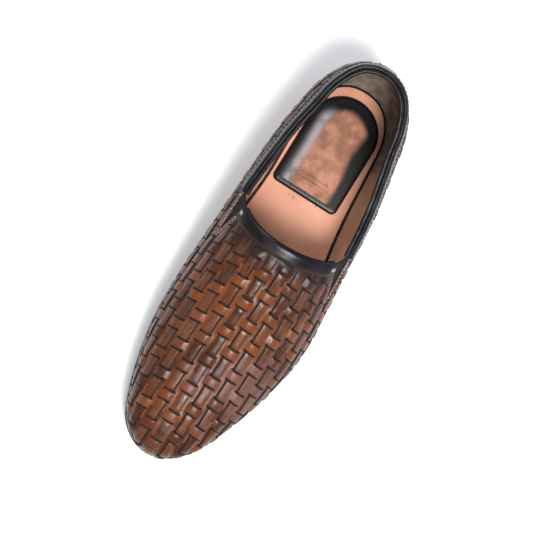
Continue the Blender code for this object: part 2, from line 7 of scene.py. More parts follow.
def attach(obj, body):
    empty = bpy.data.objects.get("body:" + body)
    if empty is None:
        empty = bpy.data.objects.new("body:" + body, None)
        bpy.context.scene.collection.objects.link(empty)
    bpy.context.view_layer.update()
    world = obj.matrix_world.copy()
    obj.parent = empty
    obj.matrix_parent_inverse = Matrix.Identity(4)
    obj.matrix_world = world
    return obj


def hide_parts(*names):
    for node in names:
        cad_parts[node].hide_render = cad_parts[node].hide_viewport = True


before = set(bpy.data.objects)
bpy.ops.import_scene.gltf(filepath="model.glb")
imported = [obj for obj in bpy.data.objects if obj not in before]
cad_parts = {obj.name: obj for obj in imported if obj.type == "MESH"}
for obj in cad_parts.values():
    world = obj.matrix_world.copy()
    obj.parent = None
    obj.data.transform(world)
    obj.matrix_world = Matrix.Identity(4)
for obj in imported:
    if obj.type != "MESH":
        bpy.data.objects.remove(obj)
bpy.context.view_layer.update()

# Floor and studio. A plain pale floor under a soft box ahead of the shoe, with a broader and weaker one
# behind it, as for a catalogue picture taken from overhead.
FLOOR_HALF = 3.0
FLOOR_COLOUR = (0.93, 0.93, 0.94, 1)
SKY_COLOUR = (0.93, 0.95, 1.0, 1)
SKY_STRENGTH = 0.50
floor_mesh = bpy.data.meshes.new("floor")
floor_mesh.from_pydata([(-FLOOR_HALF, -FLOOR_HALF, 0), (FLOOR_HALF, -FLOOR_HALF, 0),
                        (FLOOR_HALF, FLOOR_HALF, 0), (-FLOOR_HALF, FLOOR_HALF, 0)], [], [(0, 1, 2, 3)])
floor = bpy.data.objects.new("floor", floor_mesh)
bpy.context.scene.collection.objects.link(floor)
floor_paint = bpy.data.materials.new("floor_paint")
floor_paint.use_nodes = True
floor_shader = floor_paint.node_tree.nodes["Principled BSDF"]
floor_shader.inputs["Base Color"].default_value = FLOOR_COLOUR
floor_shader.inputs["Roughness"].default_value = 0.7
floor_mesh.materials.append(floor_paint)

world = bpy.data.worlds.new("studio")
world.use_nodes = True
sky = world.node_tree.nodes["Background"]
sky.inputs["Color"].default_value = SKY_COLOUR
sky.inputs["Strength"].default_value = SKY_STRENGTH
bpy.context.scene.world = world
bpy.context.scene.view_settings.view_transform = "Standard"


def soft_box(name, place, aim, width, watts):
    """A square area light turned to a point."""
    data = bpy.data.lights.new(name, "AREA")
    data.size = width
    data.energy = watts
    lamp = bpy.data.objects.new(name, data)
    lamp.location = place
    lamp.rotation_euler = (Vector(aim) - Vector(place)).to_track_quat("-Z", "Y").to_euler()
    bpy.context.scene.collection.objects.link(lamp)


SHOE_MIDDLE = (0.122, 0.003, 0.030)
soft_box("key_box", (0.48, 0.33, 1.21), SHOE_MIDDLE, 0.40, 21)
soft_box("fill_box", (-0.75, -0.55, 0.90), SHOE_MIDDLE, 0.7, 8)

# Camera. The photograph was taken from straight above a point ahead of and inside this shoe, so the
# camera keeps that place and turns to the shoe, rolled until the toe points down to the left.
CAMERA_PLACE = Vector((0.197, -0.066, 0.90))
PICTURE_TOE = (-0.5254, -0.8509)      # toe direction in the picture, right and up
VIEW_WIDTH = 0.352                    # width seen at the shoe
SENSOR = 36.0
camera_data = bpy.data.cameras.new("camera")
camera = bpy.data.objects.new("camera", camera_data)
bpy.context.scene.collection.objects.link(camera)
bpy.context.scene.camera = camera
look = (Vector(SHOE_MIDDLE) - CAMERA_PLACE).normalized()
toe_flat = Vector((1, 0, 0)) - look * look.x
toe_flat.normalize()
side_flat = look.cross(toe_flat)      # to the picture's right when the toe points up
up = toe_flat * PICTURE_TOE[1] - side_flat * PICTURE_TOE[0]
right = look.cross(up)
camera.matrix_world = Matrix.Translation(CAMERA_PLACE) @ Matrix((right, up, -look)).transposed().to_4x4()
camera_data.sensor_width = SENSOR
camera_data.lens = SENSOR * (Vector(SHOE_MIDDLE) - CAMERA_PLACE).length / VIEW_WIDTH
camera_data.clip_start = 0.02


# Outsole. One black rubber wedge, moulded with the heel in it: flat side walls, a small ledge round
# the foot, an arch, a rolled-up toe and fine ribs on the forefoot's side. It is cemented on.
SOLE_LENGTH = 0.288
BALL_WIDTH = 0.0968
TOE_SPRING = 0.0150
HEEL_STACK = 0.0140
FORE_STACK = 0.0080
MIDSOLE = 0.0030
HEEL_REST = 0.0200
HEEL_CENTRE = 0.0375
ARCH_RISE = 0.0018
GAP = 0.0003
HEEL_ROUND = 2.3
TOE_START = 0.60                      # share of the length where the toe begins to rise
TOE_CURVE = 1.7
HEEL_LINES = 50
SOLE_LINES = 260
PLAN = {
    "share": (.13, .20, .29, .40, .50, .60, .66, .73, .79, .84, .90, .95, .985, 1.0),
    "lateral": (.399, .436, .478, .500, .530, .556, .549, .508, .460, .408, .336, .252, .140, 0),
    "medial": (.368, .396, .411, .423, .434, .442, .438, .421, .392, .357, .302, .236, .133, 0),
    "sole_lateral": (.341, .356, .377, .424, .491, .542, .546, .512, .466, .414, .345, .266, .152, 0),
    "sole_medial": (.331, .336, .330, .350, .398, .440, .447, .434, .405, .372, .317, .252, .146, 0),
}


def smooth(table, column, share):
    """A monotone cubic through a column, its shares stretched towards the round toe."""
    x = 1.0 - np.sqrt(1.0 - np.array(table["share"]))
    y = np.array(table[column], float)
    at = 1.0 - np.sqrt(np.clip(1.0 - np.asarray(share, float), 0.0, 1.0))
    step = np.diff(x)
    slope = np.diff(y) / step
    tangent = np.zeros_like(y)
    tangent[0], tangent[-1] = slope[0], slope[-1]
    for i in range(1, len(y) - 1):
        left, after = slope[i - 1], slope[i]
        near, far = 2 * step[i] + step[i - 1], step[i] + 2 * step[i - 1]
        if left * after > 0:
            tangent[i] = (near + far) / (near / left + far / after)
    i = np.clip(np.searchsorted(x, at) - 1, 0, len(step) - 1)
    f = (at - x[i]) / step[i]
    return (y[i] * (1 + 2 * f) * (1 - f) ** 2 + tangent[i] * step[i] * f * (1 - f) ** 2
            + y[i + 1] * f * f * (3 - 2 * f) - tangent[i + 1] * step[i] * f * f * (1 - f))


def ease(low, high, value):
    """0 below low and 1 above high, with a soft turn."""
    f = np.clip((np.asarray(value, float) - low) / (high - low), 0.0, 1.0)
    return f * f * (3 - 2 * f)


def spring(t):
    """Rise of the toe at a share of the length."""
    return TOE_SPRING * np.clip((t - TOE_START) / (1 - TOE_START), 0.0, 1.0) ** TOE_CURVE


def underside(x):
    t = np.asarray(x, float) / SOLE_LENGTH
    return ARCH_RISE * ease(0.13, 0.26, t) * (1 - ease(0.28, 0.42, t)) + spring(t)


def seat(x):
    """Height of the sole's top, on which the upper stands."""
    t = np.asarray(x, float) / SOLE_LENGTH
    return spring(t) + (HEEL_STACK + (FORE_STACK - HEEL_STACK) * ease(0.12, 0.62, t))


def stations(fan, planes):
    """Turns about the heel's centre, then shares of the way on to the toe."""
    turn = np.linspace(np.pi, np.pi / 2, fan)
    run = 1.0 - (1.0 - np.linspace(0.0, 1.0, planes)[1:]) ** 2
    return np.concatenate([turn, np.full(planes - 1, np.pi / 2)]), np.concatenate([np.zeros(fan), run])


def outline(side, column, back, tip, turn, run):
    """Plan points on one side (+1 lateral, -1 medial): an oval heel, then the table's half-widths."""
    name = column + ("lateral" if side > 0 else "medial")
    x = HEEL_CENTRE + back * np.cos(turn) + run * (tip - HEEL_CENTRE)
    y = BALL_WIDTH * smooth(PLAN, name, np.maximum(x, HEEL_CENTRE) / tip)
    reach = 0.002
    grow = BALL_WIDTH * (smooth(PLAN, name, (HEEL_CENTRE + reach) / tip)
                         - smooth(PLAN, name, HEEL_CENTRE / tip)) / reach
    round_off = np.clip(1 - np.abs(np.cos(turn)) ** HEEL_ROUND, 0, 1) ** (1 / HEEL_ROUND)
    return x, side * np.where(run > 0, y, (y + grow * back * np.cos(turn)) * round_off)


def sole_line(inset, low=0.0, wave=None):
    """Stations of the sole's outline moved inwards: lateral and medial points, from heel to toe."""
    turn, run = stations(HEEL_LINES, SOLE_LINES)
    lines = []
    for side in (1, -1):
        x, y = outline(side, "sole_", HEEL_CENTRE, SOLE_LENGTH, turn, run)
        along = np.gradient(np.stack([x, y], 1), axis=0)
        along[0], along[-1] = (0.0, side), (0.0, -side)
        along /= np.linalg.norm(along, axis=1)[:, None]
        deep = inset + (wave(x) if wave else 0.0)
        lines.append((x + side * along[:, 1] * deep, y - side * along[:, 0] * deep))
    (x1, y1), (x2, y2) = lines
    return [((x1[i], y1[i]), (x2[i], y2[i])) for i in range(len(x1)) if x1[i] / SOLE_LENGTH >= low]


def plate(layers):
    """A closed solid from layers, bottom to top, each a station list and a height function."""
    points, faces, rings = [], [], []
    for line, height in layers:
        ring = [(x, y, float(height(x))) for (x, y), _ in line]
        ring += [(x, y, float(height(x))) for _, (x, y) in line[::-1]]
        rings.append([len(points) + k for k in range(len(ring))])
        points += ring
    n = len(rings[0])
    for low, high in zip(rings, rings[1:]):
        faces += [[low[j], low[(j + 1) % n], high[(j + 1) % n], high[j]] for j in range(n)]
    for ring, flip in ((rings[0], 1), (rings[-1], -1)):
        faces += [[ring[i], ring[n - 1 - i], ring[n - 2 - i], ring[i + 1]][::flip]
                  for i in range(n // 2 - 1)]
    return points, faces


WELD = 2e-7


def make(name, points, faces, paint, node, crease=0.7, **values):
    """A closed piece from points measured from the sole's back, riding on the shoe for its CAD node.

    Edges sharper than the crease, in radians, are shaded hard. Each further value is a number for
    every point, which the finish reads by its name."""
    mesh = bpy.data.meshes.new(name)
    shifted = np.asarray(points, float) - np.array([HEEL_REST, 0, 0])
    mesh.from_pydata(shifted.tolist(), [], [list(map(int, f)) for f in faces])
    for key, numbers in values.items():
        numbers = np.broadcast_to(np.asarray(numbers, np.float32), len(shifted))
        mesh.attributes.new(key, "FLOAT", "POINT").data.foreach_set("value", np.ascontiguousarray(numbers))
    bm = bmesh.new()
    bm.from_mesh(mesh)
    bmesh.ops.remove_doubles(bm, verts=bm.verts, dist=WELD)
    bmesh.ops.recalc_face_normals(bm, faces=bm.faces)
    bm.to_mesh(mesh)
    bm.free()
    mesh.shade_smooth()
    mesh.set_sharp_from_angle(angle=crease)
    mesh.materials.append(paint)
    obj = bpy.data.objects.new(name, mesh)
    bpy.context.scene.collection.objects.link(obj)
    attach(obj, "root")
    if node:
        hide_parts(node)
    return obj


class Socket:
    """A shader value that can be used in Python expressions; each one adds its Math node."""

    def __init__(self, nodes, out):
        self.nodes, self.out = nodes, out

    def math(self, operation, other=None, swap=False):
        pair = [other, self] if swap else [self, other]
        values = {f"i{k}": value for k, value in enumerate(pair) if value is not None}
        return self.nodes.node("Math", {"operation": operation}, **values)

    def __add__(self, other):
        return self.math("ADD", other)

    def __sub__(self, other):
        return self.math("SUBTRACT", other)

    def __rsub__(self, other):
        return self.math("SUBTRACT", other, True)

    def __mul__(self, other):
        return self.math("MULTIPLY", other)

    def __truediv__(self, other):
        return self.math("DIVIDE", other)

    def __abs__(self):
        return self.math("ABSOLUTE")

    __radd__, __rmul__ = __add__, __mul__


class Finish:
    """A material with one Principled shader, and a short way to add any node."""

    def __init__(self, name, **plain):
        self.material = bpy.data.materials.new(name)
        self.material.use_nodes = True
        self.tree = self.material.node_tree
        self.shader = self.tree.nodes["Principled BSDF"]
        for socket, value in plain.items():
            self.shader.inputs[socket.replace("_", " ")].default_value = value

    def feed(self, socket, value):
        if isinstance(value, Socket):
            self.tree.links.new(value.out, socket)
        else:
            socket.default_value = value

    def node(self, kind, settings=None, out=0, **inputs):
        """Any shader node. Its inputs go by name, or as i0, i1 and so on by number."""
        node = self.tree.nodes.new("ShaderNode" + kind)
        for key, value in (settings or {}).items():
            setattr(node, key, value)
        for key, value in inputs.items():
            self.feed(node.inputs[int(key[1:]) if key[1:].isdigit() else key.replace("_", " ")], value)
        return Socket(self, node.outputs[out])

    def place(self):
        """Position on the piece, in metres."""
        return self.node("TexCoord", out=3)

    def value(self, name):
        """A number that the mesh carries for every point."""
        return self.node("Attribute", {"attribute_name": name}, out=2)

    def noise(self, scale, detail=3.0, at=None, stretch=(1, 1, 1)):
        moved = self.node("Mapping", Vector=at or self.place(), Scale=tuple(scale * s for s in stretch))
        return self.node("TexNoise", Vector=moved, Scale=1.0, Detail=detail)

    def step(self, value, low, high):
        """0 below low and 1 above high, with a soft turn."""
        return self.node("MapRange", {"interpolation_type": "SMOOTHSTEP"}, Value=value,
                         From_Min=low, From_Max=high)

    def mix(self, factor, one, two):
        """One colour where the factor is 0, and the other where it is 1."""
        one, two = (c if isinstance(c, Socket) else (*c, 1) for c in (one, two))
        return self.node("Mix", {"data_type": "RGBA", "clamp_factor": True}, 2, i0=factor, i6=one, i7=two)

    def bump(self, height, distance, strength=1.0):
        return self.node("Bump", Height=height, Distance=distance, Strength=strength)

    def paint(self, **inputs):
        for key, value in inputs.items():
            self.feed(self.shader.inputs[key.replace("_", " ")], value)
        return self.material


MIDSOLE_START = 0.33                  # share of the length
MIDSOLE_FULL = 0.48
MIDSOLE_EDGE = 0.0009
LEDGE_TOP = 0.0028
RIB_PITCH = 0.0016
RIB_DEPTH = 0.00022
RUBBER_TONES = (0.005, 0.005, 0.006), (0.014, 0.014, 0.017)


def midsole_depth(x):
    return MIDSOLE_EDGE + (MIDSOLE - MIDSOLE_EDGE) * ease(MIDSOLE_START, MIDSOLE_FULL, x / SOLE_LENGTH)


def ribs(x):
    """Fine upright ribs, on the forefoot's side only."""
    t = x / SOLE_LENGTH
    wave = 0.5 - 0.5 * np.cos(2 * np.pi * x / RIB_PITCH)
    return RIB_DEPTH * wave * ease(0.40, 0.46, t) * (1 - ease(0.9, 0.95, t))


def outsole_top(x):
    return seat(x) - np.where(x > MIDSOLE_START * SOLE_LENGTH, midsole_depth(x) + GAP, 0.0)


def tread_level(rise):
    return lambda x: underside(x) + rise


def wall_level(share):
    return lambda x: underside(x) + LEDGE_TOP + (outsole_top(x) - underside(x) - LEDGE_TOP) * share


rubber = Finish("sole_rubber", Roughness=0.52)
grime = rubber.noise(60, 4)
rubber_skin = rubber.paint(
    Base_Color=rubber.mix(rubber.step(grime, 0.45, 0.72), *RUBBER_TONES),
    Roughness=grime * 0.25 + 0.42, Specular_IOR_Level=0.30,
    Normal=rubber.bump(rubber.noise(900, 2), 0.00012, 0.6))
ledge_edge = ((0.0026, 0.0), (0.0011, 0.0004), (0.0008, 0.0010), (0.0008, 0.0023), (0.0001, LEDGE_TOP))
outsole_layers = [(sole_line(inset), tread_level(rise)) for inset, rise in ledge_edge]
outsole_layers += [
    (sole_line(0.0002, wave=ribs), wall_level(0.15)),
    (sole_line(0.0003, wave=ribs), wall_level(0.86)),
    (sole_line(0.0002), wall_level(0.93)),
    (sole_line(0.0004), outsole_top),
]
outsole = make("outsole_rubber", *plate(outsole_layers), rubber_skin, "outsole", 0.5)

# Midsole. A thin black layer between outsole and upper, from the waist to the toe, with a rounded
# edge that is inked and waxed. It is cemented between the two.
MIDSOLE_SETBACK = 0.003
WAX_TONES = (0.011, 0.010, 0.010), (0.030, 0.024, 0.022)


def midsole_level(share):
    return lambda x: seat(x) - share * midsole_depth(x)


wax = Finish("midsole_wax", Roughness=0.4)
wax_wear = wax.noise(110, 4)
waxed_edge = wax.paint(
    Base_Color=wax.mix(wax.step(wax_wear, 0.5, 0.75), *WAX_TONES),
    Roughness=wax_wear * 0.3 + 0.28,
    Normal=wax.bump(wax.noise(700, 3), 0.0001, 0.5))
midsole_edge = ((0.0006, 1.0), (0.0001, 0.75), (0.0, 0.45), (0.0002, 0.12), (0.0007, 0.0))
midsole_layers = [(sole_line(inset, MIDSOLE_START + MIDSOLE_SETBACK), midsole_level(share))
                  for inset, share in midsole_edge]
midsole = make("midsole_layer", *plate(midsole_layers), waxed_edge, "midsole")

# Insole. A pale tan sock of vegetable-tanned leather, unfinished and slightly marked by wear. It is
# glued over a thin footbed inside the upper.
WALL = 0.0023
FEATHER_MARGIN = 0.0012
INSOLE_THICK = 0.0025
INSOLE_ROOM = 0.0014
INSOLE_INSET = FEATHER_MARGIN + WALL + INSOLE_ROOM
SOCK_TONES = (0.58, 0.264, 0.166), (0.67, 0.328, 0.215)
SOCK_SPECK = (0.16, 0.08, 0.05)


def insole_level(share):
    return lambda x: seat(x) + GAP + INSOLE_THICK * share


sock = Finish("insole_sock", Roughness=0.62)
sock_tone = sock.noise(38, 4)
sock_specks = sock.step(sock.noise(330, 2), 0.66, 0.70) * sock.step(sock.noise(45, 2), 0.54, 0.60)
sock_colour = sock.mix(sock.step(sock_tone, 0.35, 0.72), *SOCK_TONES)
sock_leather = sock.paint(
    Base_Color=sock.mix(sock_specks * 0.7, sock_colour, SOCK_SPECK),
    Roughness=sock_tone * 0.2 + 0.5,
    Normal=sock.bump(sock.noise(1500, 3) + sock.noise(120, 2) * 0.6, 0.00010, 0.7))
insole_edge = ((0.0, 0.0), (0.0, 0.70), (0.0003, 0.93), (0.0010, 1.0))
insole_layers = [(sole_line(INSOLE_INSET + inset), insole_level(share)) for inset, share in insole_edge]
insole = make("insole_sock", *plate(insole_layers), sock_leather, "insole")

# Heel pad. A soft patch of brown leather over foam, round behind and straight in front, its rim
# burnished black and its middle rubbed back to tan. It is glued on the insole.
PAD_LENGTH = 0.0760
PAD_WIDTH = 0.0500
PAD_THICK = 0.0022
PAD_PLACE = 0.0120
PAD_CORNER = 0.0040
PAD_LEAST_CORNER = 0.0012
FRONT_NARROWING = 5.0                 # how much narrower the black is at the pad's front
PAD_INSETS = (0, 0, .0004, .0012, .0025, .0040, .0060, .0075, .0090, .0110, .0130, .0155, .0190)
PAD_SHARES = (0, .35, .60, .80, .90, .86, .92, .95, .97, 1.0, 1.0, 1.0, 1.0)
RUBBED_TONES = (0.255, 0.108, 0.062), (0.455, 0.205, 0.126)
# The black of the border, and the grey of a painted sheen inside it.
BORDER_BLACK_AND_SHEEN = (0.006, 0.005, 0.006), (0.40, 0.36, 0.37)
PAD_SCRATCH = (0.45, 0.25, 0.16)
WORN_EDGE = (0.0070, 0.0130)          # distance in from the rim over which black turns to tan
# Painted sheen: a grey highlight band in the pad's colour, which grows in and fades out over these
# distances from the rim.
SHEEN_START = (0.0040, 0.0095)
SHEEN_END = (0.0105, 0.0165)


def pad_line(inset):
    """The pad's outline, moved inwards."""
    half = PAD_WIDTH / 2
    rows = []
    for turn in np.linspace(0.0, np.pi / 2, 40):
        rows.append((half - (half - inset) * np.cos(turn), (half - inset) * np.sin(turn)))
    for f in np.linspace(0.05, 1.0, 20):
        rows.append((half + f * (PAD_LENGTH - half - PAD_CORNER), half - inset))
    corner = max(PAD_CORNER - inset, PAD_LEAST_CORNER)
    for turn in np.linspace(0.15, np.pi / 2, 8):
        rows.append((PAD_LENGTH - inset - corner + corner * np.sin(turn),
                     half - inset - corner + corner * np.cos(turn)))
    return [((PAD_PLACE + x, y), (PAD_PLACE + x, -y)) for x, y in rows]


def pad_level(share):
    return lambda x: seat(x) + 2 * GAP + INSOLE_THICK + PAD_THICK * share


def pad_rim(at):
    """Distance in from the pad's outline, counted faster at the front, where the black is narrow."""
    half = PAD_WIDTH / 2
    x, y = at[:, 0] - PAD_PLACE, np.abs(at[:, 1])
    round_part = half - np.hypot(np.minimum(x - half, 0.0), y)
    return np.where(x < half, round_part, np.minimum(half - y, (PAD_LENGTH - x) * FRONT_NARROWING))


def pad_polish(at):
    """How much painted sheen, a grey highlight put into the colour, lies along the pad's medial edge."""
    inner = ease(*SHEEN_START, pad_rim(at)) * (1 - ease(*SHEEN_END, pad_rim(at)))
    return inner * ease(-0.004, -0.012, at[:, 1]) * ease(0.010, 0.024, at[:, 0] - PAD_PLACE)


pad_layers = [(pad_line(inset), pad_level(share)) for inset, share in zip(PAD_INSETS, PAD_SHARES)]
suede = Finish("pad_suede", Roughness=0.5)
rim = suede.value("rim")
cloud = suede.noise(42, 5)
polish = suede.value("polish")
worn = suede.step(rim + (cloud - 0.5) * 0.010 - polish * 0.0035, *WORN_EDGE)
rubbed = suede.mix(suede.step(suede.noise(95, 5), 0.36, 0.66), *RUBBED_TONES)
scratch = suede.step(suede.noise(70, 6, stretch=(1, 3.5, 1)), 0.62, 0.68)
# Painted sheen: grey laid into the colour along the medial edge, where a highlight would be.
sheen_grey = polish * suede.step(suede.noise(60, 4), 0.20, 0.52) * 0.85
pad_colour = suede.mix(worn, suede.mix(sheen_grey, *BORDER_BLACK_AND_SHEEN), rubbed)
pad_skin = suede.paint(
    Base_Color=suede.mix(scratch * worn * 0.5, pad_colour, PAD_SCRATCH),
    Roughness=worn * 0.28 + 0.30, Specular_IOR_Level=0.30,
    Normal=suede.bump(suede.noise(1200, 3) + cloud * 0.8, 0.00014, 0.7))
pad_points, pad_faces = plate(pad_layers)
pad = make("heel_pad_leather", pad_points, pad_faces, pad_skin, "heel_pad", 1.0,
           rim=pad_rim(np.array(pad_points)), polish=pad_polish(np.array(pad_points)))

# Upper. One sheet of calf, cut with staggered pairs of slits, has flat strips threaded through it
# from heel to toe. The bridges between the slits cross over the strips. Brown leather, hand-burnished
# almost black towards every edge, lined with tan kid and with suede at the heel.
INSTEP_HEIGHT = 0.0840
COLLAR_BACK = 0.0795
COLLAR_SIDE = 0.0585
THROAT_SIDE = 0.0685
BACK_BULGE = 0.0080
TIP_SETBACK = 0.0015
THROAT_BULGE = 0.0105
THROAT_PLACE = 0.1310
GORE_RAKE = 0.0090
GORE_LENGTH = 0.0280
GORE_LIFT = 0.0020
COLLAR_CURVE = 1.4
PROFILE = {
    "share": (0, .13, .20, .30, .40, .465, .60, .70, .79, .86, .91, .95, .985, 1.0),
    "ridge": (1.369, 1.290, 1.214, 1.119, 1.047, 1.0, .842, .728, .652, .605, .564, .524, .458, .357),
    "widest": (.290, .300, .305, .310, .305, .300, .270, .290, .320, .360, .400, .440, .520, 1.0),
    "fullness": (1.60, 1.38, 1.52, 1.75, 2.00, 2.05, 2.10, 2.20, 2.25, 2.25, 2.25, 2.20, 2.20, 2.20),
}
DEPTH_STEP = 0.0005                   # of the table that the leather is measured in
DEPTH_MOST = 0.150
PLACE_STEP = 0.00025
PLACE_LEAST = -0.26
PLACE_MOST = 0.24
UNDERCUT = 1.35                       # how far the measured slices run on below the sole's top
SNAP = 1e-8                           # places this near an end lie on it
FOOT_MOST = 1.02                      # most that the foot may stand out, in shares of the width
TOE_CAP = 0.012                       # depth over which the sheet faces straight ahead at the toe


class Side:
    """One side of the upper's form, measured along the rows (a) and down the slices (b)."""

    def __init__(self, side):
        self.side = side
        fan, planes, levels = 61, 260, 160
        turn, run = stations(fan, planes)
        tip = SOLE_LENGTH - TIP_SETBACK
        wide = outline(side, "", HEEL_CENTRE + BACK_BULGE, tip, turn, run)
        foot = outline(side, "sole_", HEEL_CENTRE, SOLE_LENGTH, turn, run)
        centre = np.maximum(wide[0] * (run > 0), HEEL_CENTRE)
        share = np.clip(wide[0], 0, tip) / tip
        pull = np.clip(1 - FEATHER_MARGIN / np.maximum(np.hypot(foot[0] - centre, foot[1]), 1e-6), 0, 1)
        foot_x = np.where(run > 0, wide[0], centre + (foot[0] - centre) * pull)
        foot_y = np.where(run > 0, side * np.minimum(np.abs(foot[1]) * pull, np.abs(wide[1]) * FOOT_MOST),
                          foot[1] * pull)
        low = seat(foot_x) + GAP
        high = INSTEP_HEIGHT * smooth(PROFILE, "ridge", share)
        level = low + (high - low) * smooth(PROFILE, "widest", share)
        full = smooth(PROFILE, "fullness", share)[:, None]
        above = np.linspace(0, np.pi / 2, levels)[None, :]
        below = np.linspace(0, UNDERCUT, levels)[None, 1:]
        c = np.stack([centre, np.zeros_like(centre)], 1)[:, None, :]
        w = np.stack(wide, 1)[:, None, :]
        f = np.stack([foot_x, foot_y], 1)[:, None, :]
        upper_xy = c + (w - c) * (np.sin(above) ** (2 / full))[..., None]
        upper_z = level[:, None] + (high - level)[:, None] * np.cos(above) ** (2 / full)
        lower_z = level[:, None] - (level - low)[:, None] * below
        flat = np.concatenate([upper_xy, w + (f - w) * (below ** 2)[..., None]], 1)
        points = np.concatenate([flat, np.concatenate([upper_z, lower_z], 1)[..., None]], 2)
        step = np.linalg.norm(np.diff(points, axis=1), axis=2)
        depth = np.concatenate([np.zeros((len(step), 1)), np.cumsum(step, 1)], 1)
        end = levels - 1 + (levels - 1) / UNDERCUT
        self.foot_depth = np.array([np.interp(end, np.arange(d.size), d) for d in depth])
        self.b = np.arange(0, DEPTH_MOST, DEPTH_STEP)
        self.grid = np.array([[np.interp(self.b, d, p[:, k]) for k in range(3)]
                              for d, p in zip(depth, points)]).transpose(0, 2, 1)
        along = np.linalg.norm(np.diff(self.grid, axis=0), axis=2)
        total = np.concatenate([np.zeros((1, self.b.size)), np.cumsum(along, 0)], 0)
        start = np.array([np.interp(THROAT_PLACE, wide[0], total[:, k]) for k in range(self.b.size)])
        self.run = total - start[None, :]
        self.first, self.last = self.run[0], self.run[-1]
        fore, down = np.gradient(self.grid, axis=0), np.gradient(self.grid, axis=1)
        fore[0] = (0, side, 0)
        normal = np.cross(fore, down) * side
        normal[fan:, 0, 1] = 0.0
        normal[-2:] = np.where(self.b[None, :, None] < TOE_CAP, np.array([1.0, 0, 0]), normal[-2:])
        self.normal = normal / np.maximum(np.linalg.norm(normal, axis=2, keepdims=True), 1e-12)
        self.places = np.arange(PLACE_LEAST, PLACE_MOST, PLACE_STEP)
        index = np.arange(len(self.run), dtype=float)
        self.slices = np.array([np.interp(self.places, row, index) for row in self.run.T]).T

    @staticmethod
    def between(table, i, k):
        """Values read from a table at places between its rows and columns."""
        i, k = np.clip(i, 0, table.shape[0] - 1), np.clip(k, 0, table.shape[1] - 1)
        i0 = np.minimum(i.astype(int), table.shape[0] - 2)
        k0 = np.minimum(k.astype(int), table.shape[1] - 2)
        down, over = i - i0, k - k0
        if table.ndim == 3:
            down, over = down[..., None], over[..., None]
        return ((table[i0, k0] * (1 - over) + table[i0, k0 + 1] * over) * (1 - down)
                + (table[i0 + 1, k0] * (1 - over) + table[i0 + 1, k0 + 1] * over) * down)

    def sheet(self, a, b, lift=0.0):
        """Points of the leather's face at row places a and depths b, lifted outwards."""
        a, b, lift = np.broadcast_arrays(*(np.asarray(v, float) for v in (a, b, lift)))
        k = b / DEPTH_STEP
        u = self.between(self.slices, (a - self.places[0]) / PLACE_STEP, k)
        first, final = self.ends(b)
        u = np.where(a <= first + SNAP, 0.0, np.where(a >= final - SNAP, len(self.grid) - 1.0, u))
        n = self.between(self.normal, u, k)
        n = n / np.linalg.norm(n, axis=-1, keepdims=True)
        return self.between(self.grid, u, k) + lift[..., None] * n

    def ends(self, b):
        """Row places of the back seam and of the toe at a depth."""
        return np.interp(b, self.b, self.first), np.interp(b, self.b, self.last)

    def foot(self, a):
        """Depth at which the row place a reaches the sole."""
        a = np.asarray(a, float)
        index = np.arange(len(self.foot_depth), dtype=float)
        b = np.full(a.shape, 0.06)
        for _ in range(12):
            u = self.between(self.slices, (a - self.places[0]) / PLACE_STEP, b / DEPTH_STEP)
            b = np.interp(u, index, self.foot_depth)
        return b

    def depth_of(self, a, height):
        """Depth at which the row place a has a height above the floor."""
        trial = np.arange(0.0, 0.08, DEPTH_STEP)
        z = self.sheet(np.full(trial.shape, a), trial)[:, 2]
        return float(np.interp(-height, -z, trial))


class Cut:
    """The edges that one side is cut to: collar, gore notch and throat."""

    def __init__(self, last):
        self.last = last
        self.vamp_a = -THROAT_BULGE
        self.vamp_b = last.depth_of(self.vamp_a, THROAT_SIDE)
        self.collar_a = self.vamp_a - GORE_RAKE
        self.collar_b = last.depth_of(self.collar_a, COLLAR_SIDE)
        self.tip_a = self.collar_a + GORE_LENGTH
        self.tip_b = self.collar_b - GORE_LIFT
        self.places = np.linspace(float(last.ends(self.collar_b)[0]), self.collar_a, 60)
        corner_x = last.sheet(self.collar_a, self.collar_b)[0]
        self.depths = []
        for a in self.places:
            b = self.collar_b
            for _ in range(4):
                far = np.clip((corner_x - last.sheet(a, b)[0]) / (corner_x + BACK_BULGE), 0, 1)
                b = last.depth_of(a, COLLAR_SIDE + (COLLAR_BACK - COLLAR_SIDE) * far ** COLLAR_CURVE)
            self.depths.append(b)

    def collar(self, a):
        return np.interp(a, self.places, self.depths)

    def top(self, a):
        """Depth of the quarter's upper edge: the collar, then the gore notch."""
        f = np.clip((a - self.collar_a) / (self.tip_a - self.collar_a), 0, 1)
        notch = self.collar_b + f * (self.tip_b - self.collar_b)
        return np.where(a <= self.collar_a, self.collar(a), notch)

    def throat(self, b):
        """Row place of the vamp's edge: the throat's curve, then the gore notch."""
        f = (b - self.vamp_b) / (self.tip_b - self.vamp_b)
        return np.where(b <= self.vamp_b, -THROAT_BULGE * (b / self.vamp_b) ** 2,
                        self.vamp_a + f * (self.tip_a - self.vamp_a))


CUTS = {1: Cut(Side(1)), -1: Cut(Side(-1))}
BAND_OUT = 0.0072
THROAT_LEG = 0.0080
BACKSTAY_HALF = 0.0070
ROW_PITCH = 0.0103
REPEAT = 0.0220
HALF_BRIDGE = 0.0033
HALF_STRIP = 0.0026
BRIDGE_RISE = 0.00135
STRIP_RISE = 0.00090
GATHER_RISE = 0.00022
STRIP_EDGE = (0.0025, 0.0029)         # where each form begins and ends to fade, off or along its row
STRIP_DIP = (0.0032, 0.0056)
BRIDGE_EDGE = (0.0031, 0.0036)
BRIDGE_ROOT = (0.0012, 0.0056)
GATHER_FADE = (0.0033, 0.0060)
TOE_FADE = (0.0, 0.0012)
FOOT_FADE = (0.0, 0.0035)
SEAM_FADE = (BACKSTAY_HALF - 0.0005, BACKSTAY_HALF + 0.0025)
GORE_FADE = (0.0032, 0.0062)
BOUND_FADE = (-0.0008, 0.0048)
